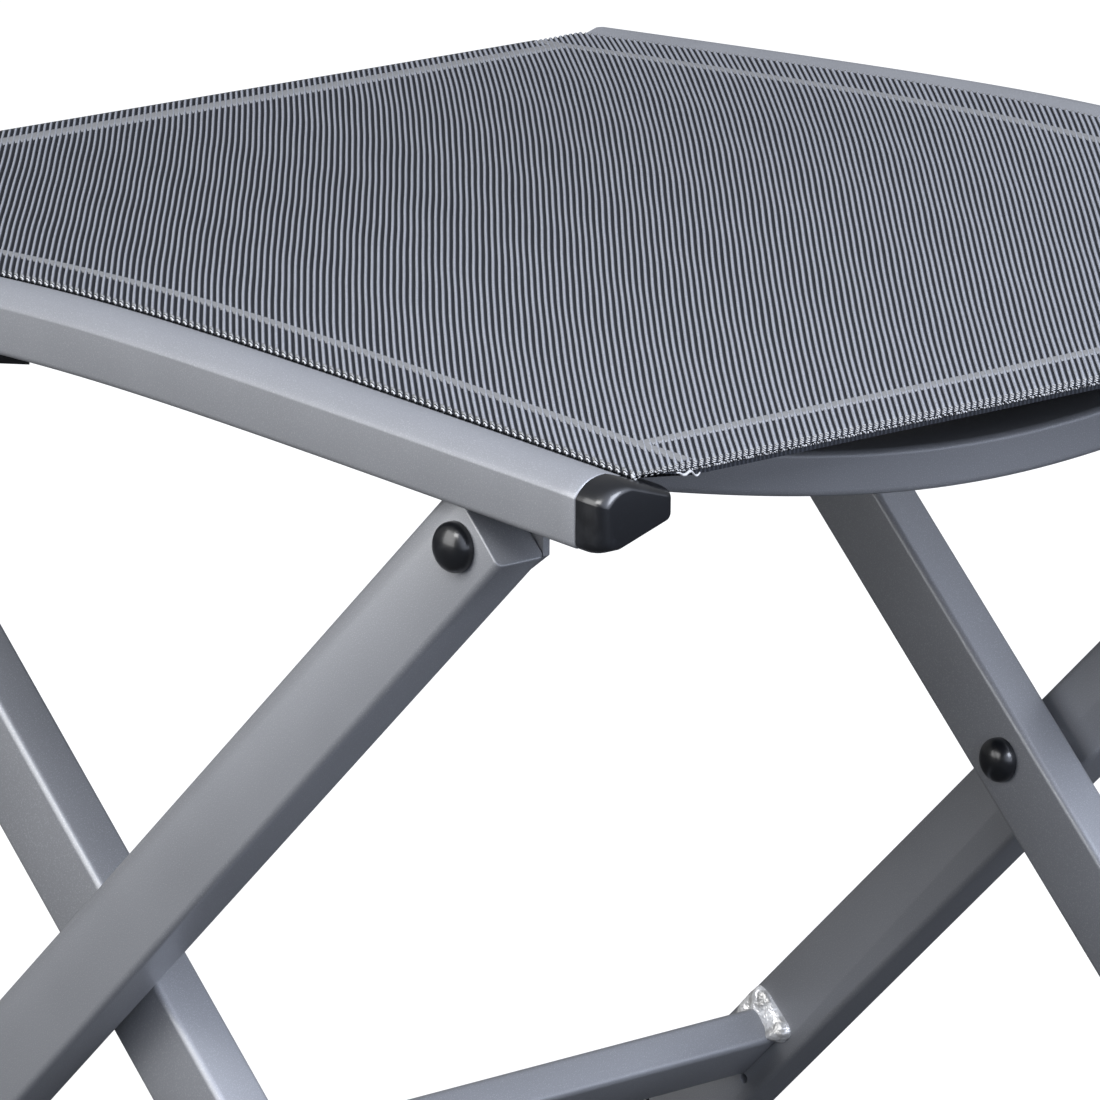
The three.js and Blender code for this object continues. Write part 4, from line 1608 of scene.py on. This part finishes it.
@dataclass
class Stitches:
    """Stitches along the cloth's outline, scattered by a Geometry Nodes tree, and one loose thread.

    Attributes:
        ribs: The ribs whose ends they hold.
        least: Least sizes of a stitch as shares of its radius, most the greatest, and turn the greatest turns.
        seeds: Seeds of the pale and of the dark stitches.
        bead_insets: How far a rib's stitch sits in from its end, at a hem and at a rail.
        row_offsets: Distances of the two rows of stitches past the ribs' ends.
        loose_start: Place of the loose thread across the stool.
        loose_sway: How far it swings along the rails, with its swings in radians; loose_wave is the like upwards.
        loose_radii: Its least radius, and how much thicker it gets; loose_taper says along which part.
    """

    ribs: Ribs
    radius: float = 0.4
    least: Triple = (0.7, 0.8, 0.7)
    most: Triple = (1.3, 1.5, 1.3)
    turn: Triple = (0.8, 0.8, 6.28)
    seeds: tuple[int, int] = (7, 11)
    bead_insets: Point = (0.5, 0.2)
    bead_rise: float = 0.3
    row_margin: float = 2.0
    row_steps: int = 440
    row_offsets: Point = (0.45, -0.5)
    tolerance: float = 0.01
    loose_start: float = -214.0
    loose_length: float = 10.0
    loose_drop: float = 0.5
    loose_rise: float = 0.35
    loose_sway: Point = (0.5, 9.0)
    loose_wave: Point = (0.4, 13.0)
    loose_radii: Point = (0.12, 0.4)
    loose_taper: Point = (0.1, 0.8)
    loose_steps: tuple[int, int] = (24, 8)

    def places(self, dark: bool) -> list[Vector]:
        """Places of the stitches at the ribs' ends and between them.

        Args:
            dark: Whether they are the dark stitches, between the pale ones.

        Returns:
            The places.
        """
        cloth, points = self.ribs.cloth, []
        for line in [] if dark else self.ribs.lines():
            for run, span in (line[0], line[-1]):
                inset = self.bead_insets[abs(span) >= cloth.span_end - self.tolerance]
                points.append(cloth.skin(run, span - math.copysign(inset, span), -self.bead_rise))
        level = cloth.half - self.row_margin
        for end in self.ribs.ends:
            for k, span in enumerate(evenly(-level, level, self.row_steps)):
                row = self.row_offsets[(k % 2 == 1) != dark]
                points.append(cloth.skin(end + math.copysign(row, end), span))
        return points

    def row(self, name: str, dark: bool) -> bpy.types.Object:
        """Builds the pale or the dark stitches.

        Args:
            name: The piece's name.
            dark: Whether they are the dark ones.

        Returns:
            The stitches.
        """
        finish = DARK_YARN if dark else YARN_END
        points = bpy.data.meshes.new("stitch_points")
        points.from_pydata(self.places(dark), [], [])
        tree = GeometryTree(name)
        radius = tree.given("Stitch radius", self.radius * MM)
        seed = tree.given("Seed", self.seeds[dark])
        knot = tree.add("GeometryNodeMeshIcoSphere", Radius=radius, Subdivisions=1).outputs["Mesh"]
        size = tree.scatter(self.least, self.most, seed)
        turn = tree.scatter((0.0, 0.0, 0.0), self.turn, seed)
        copies = tree.add("GeometryNodeInstanceOnPoints", Points=tree.source["Geometry"], Instance=knot,
                          Rotation=turn, Scale=size)
        mesh = tree.run(copies.outputs["Instances"], finish, points)
        return Maker.piece(name, mesh, finish, Body.SEAT, crease=80.0)

    def loose_thread(self) -> bpy.types.Object:
        """Builds the thread that hangs loose under the front hem beside the left rail.

        Returns:
            The thread.
        """
        along, around = self.loose_steps
        (sway, swings), (wave, waves) = self.loose_sway, self.loose_wave
        (least, more), (start, share) = self.loose_radii, self.loose_taper
        cloth = self.ribs.cloth
        sections = []
        for t in evenly(0.0, 1.0, along):
            run = cloth.run_ends[1] - self.loose_drop + sway * math.sin(swings * t)
            middle = cloth.skin(run, self.loose_start + self.loose_length * t, -self.loose_rise)
            middle.z += wave * MM * math.sin(waves * t)
            radius = (least + more * math.sin(math.pi * (start + share * t))) * MM
            sections.append([middle + radius * Vector((math.cos(turn), 0.0, math.sin(turn)))
                             for turn in evenly(0.0, 2 * math.pi, around)[:-1]])
        return Maker.piece("loose_thread", Maker.loft(sections), YARN_END, Body.SEAT)

    def build(self) -> list[bpy.types.Object]:
        """Builds the stitches and the thread.

        Returns:
            The pieces.
        """
        rows = [self.row("sling_pale_stitches", False), self.row("sling_dark_stitches", True)]
        return rows + [self.loose_thread()]


@dataclass
class Bands:
    """Flat bands over the ribs, where the cloth is welded inside its edges, and the dark back edge.

    Attributes:
        cloth: The cloth that they lie on.
        inset: Distance of their centres from the cloth's edges.
        shape: Places across a band as shares of its width, with shares of its rise.
        skim: How far their edges lie above the cloth, and root how deep their underside lies in it.
        margin: Distance of the side bands' ends from the hems.
        back: Centre's distance from the back hem, and width, of the back band; back_edge is the like.
    """

    cloth: Cloth
    inset: float = 25.0
    width: float = 5.4
    rise: float = 0.57
    shape: tuple[Point, ...] = ((-0.5, 0.0), (-0.42, 0.85), (-0.25, 1.0), (0.25, 1.0), (0.42, 0.85), (0.5, 0.0))
    skim: float = 0.02
    root: float = 0.3
    margin: float = 3.0
    steps: int = 110
    back: Point = (17.0, 10.0)
    back_edge: Point = (0.9, 1.8)

    def band(self, name: str, along: bool, place: float, width: float, finish: Finish = BAND) -> bpy.types.Object:
        """Builds one band.

        Args:
            name: The piece's name.
            along: Whether it runs along the rails.
            place: Its centre, across the stool or along the rails.
            width: Its width.
            finish: Its finish.

        Returns:
            The band.
        """
        cloth, edge = self.cloth, self.cloth.half - self.inset
        ends = (self.margin - cloth.back, cloth.front - self.margin) if along else (-edge, edge)
        sections = []
        for run in evenly(*ends, self.steps):
            upper, lower = [], []
            for off, rise in self.shape:
                x, y = (run, place + off * width) if along else (place + off * width, run)
                upper.append(cloth.skin(x, y, -rise * self.rise - self.skim))
                lower.append(cloth.skin(x, y, self.root))
            sections.append(upper + lower[::-1])
        return Maker.piece(name, Maker.loft(sections), finish, Body.SEAT)

    def build(self) -> list[bpy.types.Object]:
        """Builds the bands.

        Returns:
            The bands.
        """
        cloth = self.cloth
        return [
            *(self.band(f"{side.word}_weld_band", True, side.value * (cloth.half - self.inset), self.width)
              for side in Side),
            self.band("front_weld_band", False, cloth.front - self.inset, self.width),
            self.band("back_weld_band", False, self.back[0] - cloth.back, self.back[1]),
            self.band("back_edge_band", False, self.back_edge[0] - cloth.back, self.back_edge[1], DARK_YARN),
        ]


@dataclass
class Sling:
    """Mesh sling: the cloth with coated ribs, flat weld bands and stitched, pale yarn ends."""

    cloth: Cloth

    def build(self) -> None:
        cloth, ribs = self.cloth, Ribs(self.cloth)
        sheet = cloth.ground()
        extras = [cloth.sleeve(side) for side in Side]
        extras += [ribs.face("sling_ribs", False), ribs.face("sling_ribs_under", True)]
        extras += Stitches(ribs).build() + Bands(cloth).build()


@dataclass
class Welds:
    """Weld patches where the lower cross tubes meet the legs, wrinkled by a Geometry Nodes tree.

    Each patch starts thin on the tube's upper face, is widest at the corner and ends under the tube.

    Attributes:
        stations: Path of the patch: the tube's surface (along the leg, off its axis), how far the patch
            reaches on the leg (along, off) and how far it reaches along the tube.
        crater: Place of the crater along the path, its length on the path and its depth, as shares.
        between: Sections from one station to the next.
        around: Straight steps of a section.
        fullness: Power of the section's curve; above 1 it is hollow.
        lift: Height of the patch above the leg's face.
        toe: How far its edge on the leg dips under that height, and the power of the dip's curve.
        root: Share by which it reaches into the tube.
    """

    stations: tuple[tuple[float, float, float, float, float], ...] = (
        (-221.0, 9.0, -220.5, 10.8, 0.4), (-216.0, 9.0, -216.0, 14.6, 1.2), (-210.5, 9.0, -209.5, 15.5, 2.4),
        (-206.5, 9.0, -203.5, 15.5, 3.3), (-204.3, 8.6, -198.5, 14.8, 3.6), (-204.0, 6.4, -196.2, 10.4, 3.2),
        (-204.0, 3.0, -196.0, 5.0, 3.0), (-204.0, -1.0, -195.2, -1.4, 3.5), (-204.0, -4.4, -195.4, -6.8, 5.0),
        (-204.2, -6.0, -197.6, -9.4, 3.6), (-205.4, -6.5, -202.0, -9.4, 1.2),
    )
    crater: Triple = (0.24, 0.06, 0.85)
    between: int = 5
    around: int = 12
    fullness: float = 1.15
    sunk: float = 0.3
    lift: float = 0.15
    toe: Point = (0.45, 12.0)
    root: float = 0.06
    ripple: float = 1.3
    ripple_scale: float = 170.0

    def station(self, place: float) -> list[float]:
        """Values of the path at a place between its stations.

        Args:
            place: The place, in stations.

        Returns:
            The five values.
        """
        last = len(self.stations) - 1
        k = min(last - 1, int(place))
        t = place - k
        rows = [self.stations[min(last, max(0, k + i))] for i in (-1, 0, 1, 2)]
        # Catmull-Rom weights.
        weights = (-0.5 * t + t * t - 0.5 * t ** 3, 1 - 2.5 * t * t + 1.5 * t ** 3,
                   0.5 * t + 2 * t * t - 1.5 * t ** 3, -0.5 * t * t + 0.5 * t ** 3)
        return [sum(weight * row[i] for weight, row in zip(weights, rows)) for i in range(5)]

    def section(self, place: float, face: float, toward: int, body: Body) -> Section:
        """A section of the patch from the leg's face to the tube's.

        Args:
            place: Its place on the path, in stations.
            face: Place across the stool of the leg's face.
            toward: Direction from the leg along the tube, 1 or -1.
            body: The leg's body.

        Returns:
            The section's points.
        """
        up, off, leg_up, leg_off, reach = self.station(place)
        centre, length, depth = self.crater
        share = place / (len(self.stations) - 1)
        dent = depth * math.exp(-((share - centre) / length) ** 2)
        points = [LAYOUT.on_leg(up, off, face - toward * self.sunk, body)]
        for turn in evenly(0.0, QUARTER, self.around):
            low = 1 - dent * math.sin(2 * turn) ** 2
            out, away = math.cos(turn) ** self.fullness * low, math.sin(turn) ** self.fullness * low
            lift = reach * away + self.lift - self.toe[0] * math.cos(turn) ** self.toe[1]
            points.append(LAYOUT.on_leg(up + (leg_up - up) * out, off + (leg_off - off) * out,
                                        face + toward * lift, body))
        points.append(LAYOUT.on_leg(up - (leg_up - up) * self.root, off - (leg_off - off) * self.root,
                                    face + toward * reach, body))
        return points

    def patch(self, side: Side, body: Body) -> None:
        """Builds the patch at one end of a lower cross tube.

        Args:
            side: The side that it is on.
            body: The leg's body.
        """
        face = side.value * (LAYOUT.plane(body) - LAYOUT.leg_depth)
        last = len(self.stations) - 1
        sections = [self.section(place, face, -side.value, body)
                    for place in evenly(0.0, last, last * self.between)]
        tree = GeometryTree("weld_ripples")
        depth = tree.given("Ripple depth", self.ripple * MM)
        scale = tree.given("Ripple scale", self.ripple_scale)
        place = tree.add("GeometryNodeInputPosition").outputs["Position"]
        noise = tree.add("ShaderNodeTexNoise", Vector=place, Scale=scale, Detail=2.0).outputs["Fac"]
        lift = tree.math("MULTIPLY", tree.math("SUBTRACT", noise, 0.5), depth)
        normal = tree.add("GeometryNodeInputNormal").outputs["Normal"]
        push = tree.add("ShaderNodeVectorMath", normal, settings={"operation": "SCALE"}, Scale=lift).outputs[0]
        moved = tree.add("GeometryNodeSetPosition", Geometry=tree.source["Geometry"], Offset=push)
        mesh = tree.run(moved.outputs["Geometry"], WELD, Maker.loft(sections))
        Maker.piece(f"{side.word}_{body.word}_weld", mesh, WELD, body, crease=70.0)

    def build(self) -> None:
        """Builds the welds of both lower cross tubes."""
        for side in Side:
            for body in (Body.OUTER, Body.INNER):
                self.patch(side, body)


@dataclass(frozen=True)
class Lamp:
    """A soft square lamp that faces the stool.

    Attributes:
        name: Its name.
        toward: Direction from the stool to it.
        power: Its power, in watts.
        size: Its width, in metres.
        cool: How far its colour leans to blue.
        away: Its distance from the stool, in metres.
        aim: Height above the crossing at which it points.
    """

    name: str
    toward: Triple
    power: float
    size: float = 1.4
    cool: float = 0.0
    away: float = 2.6
    aim: float = 60.0

    def light(self) -> None:
        """Adds the lamp to the scene."""
        data = bpy.data.lights.new(self.name, "AREA")
        data.size, data.energy, data.color = self.size, self.power, grey(1.0, -self.cool)[:3]
        made = placed(self.name, data)
        direction = Vector(self.toward).normalized()
        made.rotation_mode = "QUATERNION"
        made.rotation_quaternion = (-direction).to_track_quat("-Z", "Y")
        made.location = LAYOUT.place(0.0, 0.0, self.aim) + direction * self.away


@dataclass
class Studio:
    """Camera, light and background.

    Attributes:
        room: Strength of the room's light.
        sky: Tones of the room from below and from above; sky_span holds the directions' heights for them.
        window: Direction of the room's window; window_span holds how closely a ray points at its rim and middle.
        floor_bounce: Tone of the floor to all but the camera, which sees floor_glow and floor_tone.
        distance: From the camera to the crossing.
        focal: Focal length, in the photograph's pixels.
        picture: Width of the photograph, in pixels.
        crossing: Place of the legs' crossing in the photograph.
    """

    lamps: tuple[Lamp, ...] = (
        Lamp("key_lamp", (0.195, -0.674, 0.705), 21.0, 0.7),
        Lamp("left_lamp", (-0.2, -0.88, 0.43), 55.0, 2.0),
        Lamp("front_lamp", (0.78, 0.0, 0.62), 70.0, cool=0.13),
    )
    room: float = 0.31
    sky: Point = (0.35, 0.95)
    sky_span: Point = (-0.3, 0.9)
    sky_warmth: float = -0.02
    window: Triple = (0.87, 0.0, 0.5)
    window_span: Point = (0.45, 0.95)
    window_glow: float = 7.5
    window_warmth: float = -0.18
    floor_half: float = 15.0
    floor_drop: float = 0.0006
    floor_bounce: float = 0.05
    floor_tone: float = 0.95
    floor_glow: float = 1.13
    glow_share: float = 0.8
    azimuth: float = 47.89
    elevation: float = 14.34
    roll: float = 0.41
    distance: float = 3339.0
    focal: float = 9414.0
    picture: float = 1100.0
    crossing: Point = (597.6, 858.4)
    sensor: float = 36.0
    clip: Point = (0.1, 50.0)

    def camera(self) -> None:
        """Places the camera so that the crossing falls on its place in the picture."""
        a, e, roll = (math.radians(v) for v in (self.azimuth, self.elevation, self.roll))
        back = Vector((math.sin(a) * math.cos(e), -math.cos(a) * math.cos(e), math.sin(e)))
        right = Vector((math.cos(a), math.sin(a), 0.0))
        up = back.cross(right)
        right, up = (right * math.cos(roll) + up * math.sin(roll), up * math.cos(roll) - right * math.sin(roll))
        off = [(self.crossing[k] - self.picture / 2) * self.distance / self.focal for k in (0, 1)]
        eye = back * self.distance - right * off[0] + up * off[1]
        data = bpy.data.cameras.new("photo_camera")
        data.sensor_width = self.sensor
        data.lens = self.sensor * self.focal / self.picture
        data.clip_start, data.clip_end = self.clip
        made = placed("photo_camera", data)
        turn = Matrix((right, up, back)).transposed().to_4x4()
        made.matrix_world = Matrix.Translation(LAYOUT.place(*eye)) @ turn
        bpy.context.scene.camera = made

    def world(self) -> None:
        """Makes a soft light with a window in front, and a white background for the camera."""
        world = bpy.data.worlds.new("soft_room")
        book = NodeBook.emptied(world)
        where = book.add("ShaderNodeTexCoord").outputs["Generated"]
        height = book.add("ShaderNodeSeparateXYZ", where).outputs["Z"]
        tone = book.blend(book.ramp(height, *self.sky_span), *(grey(sky, self.sky_warmth) for sky in self.sky))
        ahead = book.ramp(book.dot(where, self.window), *self.window_span)
        tone = book.blend(ahead, tone, grey(self.window_glow, self.window_warmth))
        room = book.add("ShaderNodeBackground", Color=tone, Strength=self.room).outputs[0]
        white = book.add("ShaderNodeBackground", Color=grey(1.0), Strength=1.0).outputs[0]
        ray = book.add("ShaderNodeLightPath").outputs["Is Camera Ray"]
        book.add("ShaderNodeOutputWorld", Surface=book.mix(ray, room, white))
        bpy.context.scene.world = world

    def floor(self) -> None:
        """Lays a pale floor that keeps the stool's shadow."""
        half, drop = self.floor_half, -self.floor_drop
        mesh = bpy.data.meshes.new("studio_floor")
        mesh.from_pydata([(-half, -half, drop), (half, -half, drop), (half, half, drop), (-half, half, drop)], [],
                         [(0, 1, 2, 3)])
        cloth = bpy.data.materials.new("studio_white")
        book = NodeBook.emptied(cloth)
        seen = book.add("ShaderNodeBsdfDiffuse", Color=grey(self.floor_tone)).outputs[0]
        glow = book.add("ShaderNodeEmission", Color=grey(1.0), Strength=self.floor_glow).outputs[0]
        dim = book.add("ShaderNodeBsdfDiffuse", Color=grey(self.floor_bounce)).outputs[0]
        ray = book.add("ShaderNodeLightPath").outputs["Is Camera Ray"]
        lit = book.mix(ray, dim, book.mix(self.glow_share, seen, glow))
        book.add("ShaderNodeOutputMaterial", Surface=lit)
        mesh.materials.append(cloth)
        placed("studio_floor", mesh)

    def build(self) -> None:
        """Sets up the whole studio."""
        bpy.context.scene.view_settings.view_transform = "Standard"
        self.camera()
        self.world()
        self.floor()
        for lamp in self.lamps:
            lamp.light()


def main() -> None:
    """Builds the stool in order and reports each piece."""
    logging.basicConfig(level=logging.INFO, format="%(name)s: %(message)s")
    Studio().build()
    rails = SideRails()
    rails.build()
    rails.dress()
    CrossBars().build()
    Legs().build()
    joints = Joints()
    joints.build()
    joints.dress()
    Sling(Cloth(rails)).build()
    Welds().build()


if __name__ == "__main__":
    main()
